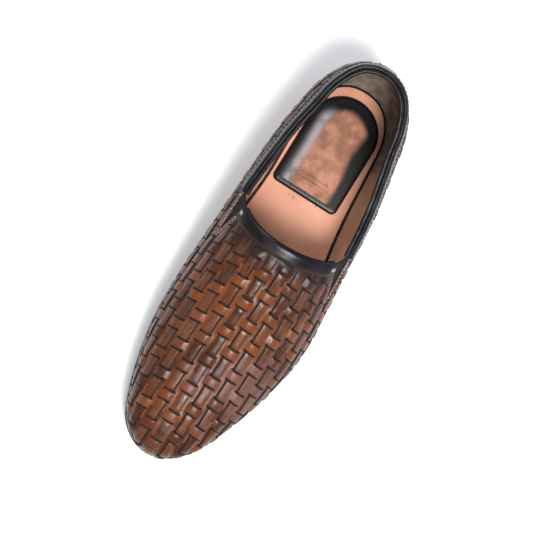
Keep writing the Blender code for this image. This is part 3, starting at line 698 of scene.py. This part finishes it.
CREASE_FADE = (-0.0008, 0.0100)
ACROSS_LINES = (0.0, 0.0020, 0.0025, 0.0029, 0.0034, 0.0041, 0.0047)
ALONG_LINES = (0.0, 0.0018, 0.0029, 0.0033, 0.0037, 0.0048)
LINE_ROOM = 0.0003                    # least distance of a mesh line from one at a cut's corner
DEPTH_ROOM = 0.00025
LINE_SPARE = 0.020                    # how far the lines run on past the leather's ends
DEPTH_SPARE = 0.010
VAMP_SPARE = 0.011
TOE_STEP = 0.00012
TOE_LINES = 10
ROUNDING = 3e-6                       # points of two patches this near are one


def edges_near(cut, a, b):
    """Distances past the bindings, and to the gore, the sole and the back seam."""
    collar = np.where(a <= cut.collar_a, b - cut.collar(a), np.hypot(a - cut.collar_a, b - cut.collar_b))
    throat = np.where(b <= cut.vamp_b, a - cut.throat(b), np.hypot(a - cut.vamp_a, b - cut.vamp_b))
    gore = np.full(np.shape(a), 1.0)
    for a1, b1 in ((cut.collar_a, cut.collar_b), (cut.vamp_a, cut.vamp_b)):
        da, db = cut.tip_a - a1, cut.tip_b - b1
        f = np.clip(((a - a1) * da + (b - b1) * db) / (da * da + db * db), 0, 1)
        gore = np.minimum(gore, np.hypot(a - a1 - f * da, b - b1 - f * db))
    past = np.minimum(collar - BAND_OUT, throat - THROAT_LEG)
    return past, gore, cut.last.foot(a) - b, a - cut.last.ends(b)[0]


# Soft creases and swells of worn leather: side, row place, depth, lean, half length, half width, height.
CREASES = (
    (0, 0.026, 0.000, 0.10, 0.030, 0.0045, -0.00045), (1, 0.037, 0.022, 0.35, 0.024, 0.0040, -0.00050),
    (-1, 0.034, 0.024, 0.30, 0.026, 0.0040, -0.00050), (1, 0.052, 0.030, 0.55, 0.018, 0.0050, -0.00040),
    (0, 0.043, 0.000, -0.05, 0.022, 0.0060, 0.00035), (-1, 0.055, 0.026, 0.50, 0.018, 0.0050, -0.00035),
    (1, 0.006, 0.050, 0.80, 0.016, 0.0060, -0.00050), (1, -0.045, 0.058, 0.15, 0.014, 0.0070, -0.00055),
    (-1, -0.040, 0.052, 0.20, 0.015, 0.0070, -0.00055), (1, -0.085, 0.055, -0.15, 0.013, 0.0060, -0.00040),
    (-1, -0.088, 0.050, -0.10, 0.013, 0.0060, -0.00040), (-1, 0.010, 0.046, 0.70, 0.016, 0.0060, -0.00045),
)


def creases(cut, a, b):
    """Height of the creases and swells, which die out at the middle line where only one side has them."""
    rise = 0.0
    for side, a1, b1, lean, half_long, half_wide, height in CREASES:
        if side in (0, cut.last.side):
            across = (a - a1) - lean * (b - b1)
            spine = ease(0.0, 0.012, b) if side else 1.0
            rise = rise + height * spine * np.exp(-(across / half_wide) ** 2 - ((b - b1) / half_long) ** 2)
    return rise


def weave_rise(cut, a, b):
    """Height of strips and bridges above the sheet."""
    row = np.round(b / ROW_PITCH)
    off = np.abs(b - row * ROW_PITCH)
    turn = a / REPEAT + 0.5 * np.mod(row, 2)
    along = np.abs(turn - np.round(turn)) * REPEAT
    luck = np.sin((np.floor(turn) * 12.9898 + row * 78.233)) * 43758.5453
    luck = luck - np.floor(luck)
    strip = STRIP_RISE * (0.85 + 0.3 * luck) * (1 - 0.22 * (off / HALF_STRIP) ** 2)
    strip = strip * (0.45 + 0.55 * ease(*STRIP_DIP, along)) * (1 - ease(*STRIP_EDGE, off))
    bridge = BRIDGE_RISE * (0.94 + 0.12 * luck) * (1 - 0.14 * (along / HALF_BRIDGE) ** 2)
    bridge = bridge * (1 - ease(*BRIDGE_EDGE, along)) * (1 - ease(*BRIDGE_ROOT, off))
    gather = GATHER_RISE * np.cos(np.pi * np.clip(off / ROW_PITCH * 2, 0, 1)) * ease(*GATHER_FADE, along)
    past, gore, foot, back = edges_near(cut, a, b)
    free = ease(*TOE_FADE, cut.last.ends(b)[1] - a) * ease(*FOOT_FADE, foot)
    free = free * ease(*SEAM_FADE, back) * ease(*GORE_FADE, gore)
    woven = (np.maximum(strip, bridge) + gather) * free * ease(*BOUND_FADE, past)
    return woven + creases(cut, a, b) * free * ease(*CREASE_FADE, past)


def lines_across(fine):
    """Depths of the mesh's lengthwise lines, the same on both sides."""
    deepest = max(float(cut.last.foot(np.linspace(-0.12, 0.10, 23)).max()) for cut in CUTS.values())
    lines = []
    for row in range(int(deepest / ROW_PITCH) + 2):
        if fine:
            lines += [row * ROW_PITCH + s * off for off in ACROSS_LINES for s in (1, -1)]
        else:
            lines += [row * ROW_PITCH, (row + 0.5) * ROW_PITCH]
    own = [b for cut in CUTS.values() for b in (cut.vamp_b, cut.tip_b)]
    lines = [b for b in lines if 0 < b < deepest and min(abs(b - o) for o in own) > DEPTH_ROOM]
    return np.array(sorted(set(lines + own + [0.0, deepest + DEPTH_SPARE])))


def lines_along(fine):
    """Row places of the mesh's crosswise lines, with closer ones at the round toe."""
    cut, shown = CUTS[1], slice(0, int(0.10 / DEPTH_STEP))
    back = min(float(c.last.first[shown].min()) for c in CUTS.values())
    front = max(float(c.last.last[shown].max()) for c in CUTS.values())
    tip = float(cut.last.ends(0.0)[1])
    own = [cut.collar_a, cut.tip_a] + [tip - TOE_STEP * k * k for k in range(1, TOE_LINES + 1)]
    lines = []
    for k in range(int(back / (REPEAT / 2)) - 2, int(front / (REPEAT / 2)) + 3):
        if fine:
            lines += [k * REPEAT / 2 + s * far for far in ALONG_LINES for s in (1, -1)]
        else:
            lines += [k * REPEAT / 2 + s * HALF_BRIDGE for s in (1, -1)]
    lines = [a for a in lines if min(abs(a - o) for o in own) > LINE_ROOM]
    return np.array(sorted(set(lines + own + [back - LINE_SPARE, front + LINE_SPARE])))


def shell(lift, fine):
    """Vertices, weave places and triangles of the upper's outer or inner face."""
    points, places, faces, count = [], [], [], 0

    def patch(cut, a, b):
        """Adds a net of row places and depths, joined into triangles."""
        nonlocal count
        first, final = cut.last.ends(b)
        a = np.clip(a, first, final)
        rise = weave_rise(cut, a, b) if fine else 0.0
        points.append(cut.last.sheet(a, b, lift + rise).reshape(-1, 3))
        places.append(np.stack([a, b, *(edges_near(cut, a, b))], -1).reshape(-1, 6))
        n, m = a.shape
        k = count + np.arange(n * m).reshape(n, m)
        one, two, three, four = (net.ravel() for net in (k[:-1, :-1], k[1:, :-1], k[1:, 1:], k[:-1, 1:]))
        made = np.concatenate([np.stack([one, two, three], 1), np.stack([one, three, four], 1)])
        faces.append(made if cut.last.side > 0 else made[:, ::-1])
        count += n * m

    a_lines, b_lines = lines_along(fine), lines_across(fine)
    for cut in CUTS.values():
        a, b = np.meshgrid(a_lines, b_lines[b_lines >= cut.tip_b - SNAP], indexing="ij")
        patch(cut, a, np.minimum(np.maximum(b, cut.top(a)), cut.last.foot(a)))
        vamp_lines = a_lines[a_lines > cut.vamp_a - VAMP_SPARE]
        a, b = np.meshgrid(vamp_lines, b_lines[b_lines <= cut.tip_b + SNAP], indexing="ij")
        a = np.maximum(a, cut.throat(b))
        patch(cut, a, np.minimum(b, cut.last.foot(a)))
    points, places, faces = np.concatenate(points), np.concatenate(places), np.concatenate(faces)
    rounded = np.round(points / ROUNDING).astype(np.int64)
    _, keep, back = np.unique(rounded, axis=0, return_index=True, return_inverse=True)
    faces = back.ravel()[faces]
    good = (faces[:, 0] != faces[:, 1]) & (faces[:, 1] != faces[:, 2]) & (faces[:, 0] != faces[:, 2])
    return points[keep], places[keep], faces[good]


def rims(faces):
    """The two longest boundary loops of a triangle list, as ordered vertices."""
    edges = {(int(f[k]), int(f[(k + 1) % 3])) for f in faces for k in range(3)}
    after = {a: b for a, b in edges if (b, a) not in edges}
    found = []
    while after:
        start, at = after.popitem()
        loop = [start]
        while at != start and at in after:
            loop.append(at)
            at = after.pop(at)
        found.append(loop)
    return sorted(found, key=len)[-2:]


def zip_loops(points, one, two):
    """Triangles between two loops that run the same way, along the shorter diagonals."""
    start = int(np.argmin(np.linalg.norm(points[two] - points[one[0]], axis=1)))
    two = two[start:] + two[:start]
    i, j, faces = 0, 0, []
    while i < len(one) or j < len(two):
        a, b = one[i % len(one)], two[j % len(two)]
        a2, b2 = one[(i + 1) % len(one)], two[(j + 1) % len(two)]
        far_one = np.linalg.norm(points[a2] - points[b]) if i < len(one) else np.inf
        far_two = np.linalg.norm(points[a] - points[b2]) if j < len(two) else np.inf
        if far_one <= far_two:
            faces.append([a, b, a2])
            i += 1
        else:
            faces.append([a, b, b2])
            j += 1
    return faces


outer, outer_places, outer_faces = shell(0.0, True)
inner, inner_places, inner_faces = shell(-WALL, False)
both = np.concatenate([outer, inner])
both_places = np.concatenate([outer_places, inner_places])
low_first = [sorted(rims(faces), key=lambda loop: points[loop][:, 2].mean())
             for points, faces in ((outer, outer_faces), (inner, inner_faces))]
rim_faces = []
for loop_out, loop_in in zip(*low_first):
    rim_faces += zip_loops(both, loop_out, [k + len(outer) for k in loop_in])

STRIP_TONES = (0.036, 0.011, 0.004), (0.122, 0.039, 0.015)
SHEET_TONES = (0.050, 0.013, 0.003), (0.142, 0.040, 0.011)
# EDGE_AND_GAP_SHADE is partly the strips' dark cut edges and partly painted shade in the gaps beside them.
EDGE_AND_GAP_SHADE = (0.007, 0.003, 0.003)
# SLIT_SHADE is painted shade: the dark inside the slits.
SLIT_SHADE = (0.004, 0.002, 0.002)
FIBRE_DARK = (0.035, 0.011, 0.007)
# SHEEN_MAUVE is painted sheen: the pale mauve of patches where the lamps' reflection shows on the leather.
SHEEN_MAUVE = (0.135, 0.076, 0.070)
BURNISH = (0.016, 0.007, 0.006)
FOOT_BURN = (0.0175, 0.0005)          # distances over which the leather is burnished towards an edge
BOUND_BURN = (0.0165, 0.0005)
GORE_BURN = (0.0050, 0.0010)
BACK_BURN = (0.0260, 0.0060)
SLIT_PLACE = 0.0037                   # of a slit from its bridge's middle
STRIP_LINE = 0.0028                   # of a strip's edge from its row's middle
GAP_LINE = 0.0030
leather = Finish("woven_calf", Roughness=0.34)
place_a = leather.value("along")
place_b = leather.value("across")
past_at = leather.value("past")
gore_at = leather.value("gore")
foot_at = leather.value("foot")
back_at = leather.value("back")
row = (place_b / ROW_PITCH).math("ROUND")
off = abs(place_b - row * ROW_PITCH)
turn = place_a / REPEAT + (row * 0.5).math("FRACT")
cell = turn.math("ROUND")
along = abs(turn - cell) * REPEAT
here = leather.node("CombineXYZ", {}, X=cell, Y=row * 3.7, Z=0.31)
luck = leather.node("TexWhiteNoise", {"noise_dimensions": "3D"}, Vector=here)
strip_here = leather.node("CombineXYZ", {}, X=turn.math("FLOOR"), Y=row * 2.3, Z=5.0)
strip_luck = leather.node("TexWhiteNoise", {"noise_dimensions": "3D"}, Vector=strip_here)
flat_place = leather.node("CombineXYZ", {}, X=place_a, Y=place_b, Z=0.0)
streak = leather.noise(1.0, 5, at=flat_place, stretch=(150, 1500, 1))
fibre = leather.noise(1.0, 4, at=flat_place, stretch=(420, 2600, 1))
cloud = leather.noise(26, 4)
wander = (leather.noise(1.0, 2, at=flat_place, stretch=(230, 230, 1)) - 0.5) * 0.0009
on_bridge = leather.step(along + wander, 0.0036, 0.0032)
on_strip = leather.step(off + wander * 0.5, 0.00290, 0.00250)
# Painted shade in the slits, where the strips run under the bridges.
slit = leather.step(abs(along - SLIT_PLACE + wander), 0.00095, 0.00045)
slit = slit * leather.step(off + wander * 2, 0.0050, 0.0042)
# Dark lines along the strips: a thin one at both edges, partly the cut edge and partly painted shade, and
# a wider painted shadow in the gap on one chosen side of each strip.
lower_side = (place_b - row * ROW_PITCH).math("GREATER_THAN", 0.0)
on_vamp = turn.math("FLOOR").math("GREATER_THAN", -0.5)
shadow_side = abs(lower_side - on_vamp)
fine_edge_and_shade = leather.step(abs(off - STRIP_LINE + wander * 0.5), 0.00036, 0.00005) * 0.40
wide_gap_shadow = leather.step(abs(off - GAP_LINE + wander * 0.6), 0.00075, 0.00038) * shadow_side
edge_shade_lines = fine_edge_and_shade.math("MAXIMUM", wide_gap_shadow) * leather.step(along, 0.0030, 0.0038)
strip_share = leather.step(streak * 0.75 + strip_luck * 0.25, 0.36, 0.64)
strip_tone = leather.mix(strip_share, *STRIP_TONES)
sheet_share = leather.step(luck * 0.35 + cloud * 0.65, 0.32, 0.68)
sheet_tone = leather.mix(sheet_share, *SHEET_TONES)
weave_tone = leather.mix(on_strip * (1 - on_bridge), sheet_tone, strip_tone)
weave_tone = leather.mix(edge_shade_lines * 0.95, weave_tone, EDGE_AND_GAP_SHADE)
weave_tone = leather.mix(slit * 0.95, weave_tone, SLIT_SHADE)
weave_tone = leather.mix(leather.step(fibre, 0.60, 0.68) * 0.5, weave_tone, FIBRE_DARK)
# Patches of painted sheen: pale mauve laid into the colour where a reflection would be. The same patches
# are also made rougher.
sheen_cloud = leather.noise(17, 3)
dull_and_sheen = leather.step(sheen_cloud + (fibre - 0.5) * 0.35 + (luck - 0.5) * 0.10, 0.50, 0.68)
weave_tone = leather.mix(dull_and_sheen * 0.42 * (1 - slit) * (1 - edge_shade_lines), weave_tone, SHEEN_MAUVE)
smoke = (cloud - 0.5) * 0.018 + (streak - 0.5) * 0.004
near_foot = leather.step(foot_at + smoke, *FOOT_BURN)
near_bound = leather.step(past_at + smoke, *BOUND_BURN)
near_gore = leather.step(gore_at + smoke * 0.4, *GORE_BURN) * 0.6
near_back = leather.step(back_at + smoke, *BACK_BURN)
burnt = near_foot.math("MAXIMUM", near_bound).math("MAXIMUM", near_back).math("MAXIMUM", near_gore)
skin = leather.mix(burnt * 0.90, weave_tone, BURNISH)
skin_rough = dull_and_sheen * 0.16 + burnt * 0.10 + slit * 0.4 + edge_shade_lines * 0.3 + 0.25
grain = leather.noise(1400, 3) * 0.35 + streak * 0.9 + fibre * 0.4
woven_leather = leather.paint(
    Base_Color=skin, Roughness=skin_rough, Specular_IOR_Level=0.27,
    Normal=leather.bump(grain - slit * 2.2 - edge_shade_lines * 1.3, 0.00016, 0.8))

KID_TONES = (0.40, 0.21, 0.125), (0.56, 0.325, 0.215)
SUEDE_TONES = (0.115, 0.090, 0.066), (0.235, 0.185, 0.140)
lining = Finish("kid_lining", Roughness=0.6)
lining_suede = lining.value("suede")
lining_tone = lining.mix(lining.step(lining.noise(40, 4), 0.35, 0.7), *KID_TONES)
suede_tone = lining.mix(lining.step(lining.noise(130, 5), 0.30, 0.7), *SUEDE_TONES)
lining_face = lining.paint(
    Base_Color=lining.mix(lining_suede, lining_tone, suede_tone),
    Roughness=lining_suede * 0.3 + 0.52,
    Normal=lining.bump(lining.noise(1500, 3) + lining.noise(220, 3) * 0.5, 0.00012, 0.7))

all_faces = np.concatenate([outer_faces, inner_faces[:, ::-1] + len(outer), np.array(rim_faces)])
a_all, b_all, past_all, gore_all, foot_all, back_all = both_places.T
suede_all = ease(0.055, 0.052, both[:, 0] - 0.10 * (both[:, 2] - 0.05))
upper = make("woven_upper", both, all_faces.tolist(), woven_leather, "upper", 1.2,
             along=a_all, across=b_all, past=past_all, gore=gore_all, foot=foot_all, back=back_all,
             suede=suede_all)
upper.data.materials.append(lining_face)
lined = np.zeros(len(upper.data.polygons), np.int32)
lined[len(outer_faces):len(outer_faces) + len(inner_faces)] = 1
upper.data.polygons.foreach_set("material_index", lined)

# Collar binding. A strip of glossy black leather folded over the collar's edge, with two soft ridges
# along the top line. It is burnished brown where it is stitched down.
BAND_IN = 0.0050
BAND_THICK = 0.0011
FOLD_ROOM = 0.0006
FOLD_CROWN = ((0.0052, 0.0), (0.0034, 0.0001), (0.0020, 0.0002), (0.0008, 0.0002), (-0.0003, -0.0001),
              (-0.0010, -0.0006), (-0.0014, -0.0012), (-0.0013, -0.0018), (-0.0009, -0.0024))
BAND_RIPPLE = 0.00012
COLLAR_STATIONS = 95
BAND_TONES = (0.005, 0.0045, 0.006), (0.016, 0.014, 0.017)
BAND_BURNISH = (0.035, 0.014, 0.009)


def fold(edge, leg_out, leg_in):
    """Cross-section of a folded binding: places from the leather's edge, and lifts from the sheet."""
    middle, half = -WALL / 2, WALL / 2 + FOLD_ROOM + BAND_THICK
    core = half - BAND_THICK
    out = [(leg_out, core), (leg_out, half - 0.0004), (leg_out - 0.0004, half - 0.0001)]
    out += [(place, half + rise) for place, rise in FOLD_CROWN]
    back = [(min(p, leg_in - 0.0002), -lift) for p, lift in out[2:]][::-1]
    back = [(-0.0006, 0.0)] + back + [(leg_in, -half + 0.0003), (leg_in, -core)]
    return [(edge + p, middle + lift) for p, lift in out + back + [(-GAP, -core), (-GAP, core)]]


def tube_of(sections):
    """Points and faces of a strip with the same cross-section at every station, its ends capped."""
    n, count = len(sections[0]), len(sections)
    points = [p for s in sections for p in s]
    faces = [[i * n + j, i * n + (j + 1) % n, (i + 1) * n + (j + 1) % n, (i + 1) * n + j]
             for i in range(count - 1) for j in range(n)]
    return points, faces + [list(range(n)), [(count - 1) * n + j for j in range(n)][::-1]]


def both_sides(half, count):
    """Stations of a strip that runs from the lateral end round the middle to the medial end."""
    sections = []
    for side in (1, -1):
        run = [half(CUTS[side], f) for f in np.linspace(0.0, 1.0, count)]
        sections = run[::-1] if side > 0 else sections + run[1:]
    return sections


def collar_station(cut, f):
    run = cut.collar_a - GAP - cut.places[0]
    edge = float(cut.collar(cut.places[0] + f * run))
    behind = cut.last.ends(edge)[0]
    ripple = BAND_RIPPLE * np.sin(f * 61) * np.sin(f * 23 + cut.last.side)
    return [cut.last.sheet(cut.last.ends(b)[0] + f * run + f * (cut.places[0] - behind), b, lift + ripple)
            for b, lift in fold(edge, BAND_OUT, BAND_IN)]


def bind(name, station, count, leg_out, node):
    """A binding with the same fold all along, which tells its finish the place and lift in the fold."""
    points, faces = tube_of(both_sides(station, count))
    section = fold(0.0, leg_out, BAND_IN)
    number = len(points) // len(section)
    obj = make(name, points, faces, band_leather, node, 0.9,
               place=[p for p, _ in section] * number, lift=[lift for _, lift in section] * number)


band = Finish("collar_band", Roughness=0.3)
band_place = band.value("place")
band_lift = band.value("lift")
band_cloud = band.noise(60, 4)
band_low = band.step(band_place + (band_cloud - 0.5) * 0.003, 0.0042, 0.0072)
band_low = band_low * band.step(band_lift, -0.0010, 0.0)
band_black = band.mix(band.step(band_cloud, 0.45, 0.75), *BAND_TONES)
band_leather = band.paint(
    Base_Color=band.mix(band_low * 0.6, band_black, BAND_BURNISH), Specular_IOR_Level=0.20,
    Roughness=band_cloud * 0.22 + band_low * 0.10 + 0.18,
    Normal=band.bump(band.noise(900, 3) * 0.5 + band.noise(180, 4), 0.00012, 0.6))
bind("collar_band", collar_station, COLLAR_STATIONS, BAND_OUT, "collar_binding")

# Throat binding. A wider strip of the same glossy leather over the vamp's edge at the instep, flat on
# the outside, its dark stitches sunk in.
THROAT_STATIONS = 40


def throat_station(cut, f):
    b = f * (cut.vamp_b - GAP)
    edge = float(cut.throat(b))
    return [cut.last.sheet(a, b, lift) for a, lift in fold(edge, THROAT_LEG, BAND_IN)]


bind("throat_band", throat_station, THROAT_STATIONS, THROAT_LEG, "throat_binding")

# Gores. Small triangles of charcoal woven elastic, set in the side under the collar's end and the
# vamp's corner, so that the throat can open for the foot.
GORE_THICK = 0.0012
GORE_HOLLOW = 0.0003
RIB_WIDTH = 0.00085
CORD_WIDTH = 0.0013
ELASTIC_TONES = (0.008, 0.008, 0.009), (0.045, 0.042, 0.042)
web = Finish("gore_elastic", Roughness=0.9)
ribs_up = (web.value("rib") * (2 * np.pi / RIB_WIDTH)).math("SINE") * 0.5 + 0.5
cords = (web.value("cord") * (2 * np.pi / CORD_WIDTH)).math("SINE") * 0.5 + 0.5
lint = web.step(web.noise(700, 3), 0.60, 0.75)
elastic = web.paint(
    Base_Color=web.mix(ribs_up * cords * 0.5 + lint * 0.35, *ELASTIC_TONES),
    Roughness=lint * 0.08 + 0.82, Specular_IOR_Level=0.2,
    Normal=web.bump(ribs_up * cords + lint * 0.3, 0.00018, 0.9))
for side, word in ((1, "lateral"), (-1, "medial")):
    cut = CUTS[side]
    gore_sections, rib, cord = [], [], []
    for f in np.linspace(0.02, 0.94, 15):
        low_a = cut.collar_a + f * (cut.tip_a - cut.collar_a)
        high_a = cut.vamp_a + f * (cut.tip_a - cut.vamp_a)
        low_b = cut.collar_b + f * (cut.tip_b - cut.collar_b) - 1.5 * GAP
        high_b = cut.vamp_b + f * (cut.tip_b - cut.vamp_b) + 1.5 * GAP
        across = [(low_a + g * (high_a - low_a), low_b + g * (high_b - low_b))
                  for g in np.linspace(0, 1, 9)]
        middle = -WALL / 2 - GORE_HOLLOW * np.sin(np.linspace(0, np.pi, 9))
        face, reverse = ([cut.last.sheet(a, b, m + half) for (a, b), m in zip(across, middle)]
                         for half in (GORE_THICK / 2, -GORE_THICK / 2))
        gore_sections.append(face + reverse[::-1])
        rib += [b for a, b in across + across[::-1]]
        cord += [a for a, b in across + across[::-1]]
    gore = make(f"gore_{word}_elastic", *tube_of(gore_sections), elastic, f"gore_{word}", 0.6,
                rib=rib, cord=cord)

# Backstay. A narrow strip of black leather, skived thin at its sides and sewn over the heel's back
# seam from the collar to the sole.
STAY_RIPPLE = 0.00010
STAY_SHAPE = ((0.0, 1.0), (0.45, 1.0), (0.8, 0.95), (0.95, 0.75), (1.0, 0.40))
stay_start = float(CUTS[1].collar(CUTS[1].places[0])) + BAND_OUT + GAP
stay_end = float(CUTS[1].last.foot_depth[0]) - 5 * GAP
stay_row = [(CUTS[side].last, BACKSTAY_HALF * f, share) for side, order in ((1, -1), (-1, 1))
            for f, share in STAY_SHAPE[::order] if f > 0 or side > 0]
stay_sections = []
for b in np.linspace(stay_start, stay_end, 40):
    ripple = STAY_RIPPLE * np.sin(b * 700) * np.sin(b * 260)
    tops = [last.sheet(last.ends(b)[0] + far, b, FOLD_ROOM + BAND_THICK * share + ripple)
            for last, far, share in stay_row]
    beds = [last.sheet(last.ends(b)[0] + far, b, FOLD_ROOM) for last, far, share in stay_row]
    stay_sections.append(tops + beds[::-1])
backstay = make("backstay_strip", *tube_of(stay_sections), band_leather, "backstay", 0.9,
                place=0.0045, lift=0.001)

# Seams. Waxed thread, in short lock stitches that pull slightly into the leather. Dark rows hold the
# bindings and the backstay and run round the heel pad. Pale rows run round each gore, with a bar
# tack at its upper corner.
BAND_STITCH = (0.0021, 0.0008, 0.00020)         # length, space and radius of a stitch
GORE_STITCH = (0.0019, 0.0007, 0.00030)
PAD_STITCH = (0.0019, 0.0009, 0.00022)
TACK_STITCH = (0.0038, 0.0002, 0.00036)
STITCH_RISE = np.array([-0.9, 0.25, 0.6, 0.25, -0.9])
STITCH_SIZE = (0.5, 0.95, 1.0, 0.95, 0.5)
NORMAL_STEP = 0.001
BAND_SEAM = 0.0013                    # of a seam from the edge that it holds
LOW_SEAM = 0.0014
STAY_SEAM = 0.0014
GORE_SEAMS = ((0.0014, 0.0022), (0.0031, 0.0046))
PAD_SEAM = 0.0026
PAD_SEAM_SHARE = 0.88
TACK_PLACES = (0.0012, 0.0023, 0.0034)
TACK_LENGTH = 0.0042
DARK_THREAD = (0.020, 0.016, 0.016)
PALE_THREAD = (0.46, 0.27, 0.22)
TACK_THREAD = (0.42, 0.38, 0.35)


def stitches(sheet, path, kind, lift):
    """Points and faces of a row of stitches along a path of places on a sheet."""
    length, gap, radius = kind
    path = np.array(path, float)
    line = sheet(path[:, 0], path[:, 1], 0.0)
    run = np.concatenate([[0], np.cumsum(np.linalg.norm(np.diff(line, axis=0), axis=1))])
    points, faces = [], []
    for k in range(int(run[-1] / (length + gap))):
        t = k * (length + gap) + np.linspace(0, 1, 5) * length + gap / 2
        a, b = np.interp(t, run, path[:, 0]), np.interp(t, run, path[:, 1])
        high = lift + radius * STITCH_RISE
        centre, above = sheet(a, b, high), sheet(a, b, high + NORMAL_STEP)
        up = (above - centre) / NORMAL_STEP
        fore = np.gradient(centre, axis=0)
        across = np.cross(up, fore)
        across /= np.linalg.norm(across, axis=1)[:, None]
        sections = [[c + radius * size * (np.cos(q) * w + np.sin(q) * u) for q in np.arange(6) * np.pi / 3]
                    for c, u, w, size in zip(centre, up, across, STITCH_SIZE)]
        made, linked = tube_of(sections)
        faces += [[j + len(points) for j in f] for f in linked]
        points += made
    return points, faces


def sew(name, rows, colour):
    """One mesh of several rows of stitches."""
    thread = Finish(name + "_thread", Roughness=0.55)
    tone = thread.step(thread.noise(240, 3), 0.35, 0.7)
    worn_thread = tuple(c * 0.45 for c in colour)
    wax = thread.paint(Base_Color=thread.mix(tone, worn_thread, colour), Roughness=tone * 0.2 + 0.45)
    points, faces = [], []
    for made, linked in rows:
        faces += [[k + len(points) for k in f] for f in linked]
        points += made
    make(name, points, faces, wax, None, 1.2)


dark_rows, pale_rows, tacks = [], [], []
on_band = FOLD_ROOM + BAND_THICK
for cut in CUTS.values():
    sheet = cut.last.sheet
    for far, lift in ((BAND_OUT - BAND_SEAM, on_band), (BAND_OUT + LOW_SEAM, 0.0001)):
        collar_path = []
        for f in np.linspace(0.035, 0.985, 120):
            run = cut.collar_a - cut.places[0]
            b = float(cut.collar(cut.places[0] + f * run)) + far
            collar_path.append((cut.last.ends(b)[0] + f * run, b))
        dark_rows.append(stitches(sheet, collar_path, BAND_STITCH, lift))
    throat_path = [(float(cut.throat(b)) + THROAT_LEG - BAND_SEAM, b)
                   for b in np.linspace(0.001, cut.vamp_b - 0.003, 40)]
    stay_path = [(cut.last.ends(b)[0] + BACKSTAY_HALF - STAY_SEAM, b)
                 for b in np.linspace(stay_start, stay_end, 40)]
    dark_rows += [stitches(sheet, path, BAND_STITCH, on_band) for path in (throat_path, stay_path)]
    for out, reach in GORE_SEAMS:
        low = [(cut.collar_a + f * (cut.tip_a - cut.collar_a),
                cut.collar_b + f * (cut.tip_b - cut.collar_b) + out) for f in np.linspace(0.04, 0.97, 30)]
        slope_a, slope_b = cut.tip_a - cut.vamp_a, cut.tip_b - cut.vamp_b
        size = np.hypot(slope_a, slope_b)
        high = [(cut.vamp_a + f * slope_a + out * slope_b / size,
                 cut.vamp_b + f * slope_b - out * slope_a / size) for f in np.linspace(0.97, 0.20, 30)]
        nose = [(cut.tip_a + reach * np.sin(q), cut.tip_b + out * np.cos(q) * 0.9)
                for q in np.linspace(0.25, 2.6, 12)]
        pale_rows.append(stitches(sheet, low + nose + high, GORE_STITCH, 0.0002))
    for far in TACK_PLACES:
        b = cut.vamp_b - far
        tack = [(float(cut.throat(b)) + 0.0012 + s * TACK_LENGTH, b + 0.0003 * s) for s in (0, 1)]
        tacks.append(stitches(sheet, tack, TACK_STITCH, on_band))


def pad_sheet(x, y, high):
    return np.stack([x, y, pad_level(PAD_SEAM_SHARE)(x) + high], -1)


pad_half = pad_line(PAD_SEAM)
pad_path = [one for one, two in pad_half] + [two for one, two in pad_half][::-1]
dark_rows.append(stitches(pad_sheet, pad_path, PAD_STITCH, 0.0))
sew("dark_seams", dark_rows, DARK_THREAD)
sew("gore_seams", pale_rows, PALE_THREAD)
sew("bar_tacks", tacks, TACK_THREAD)
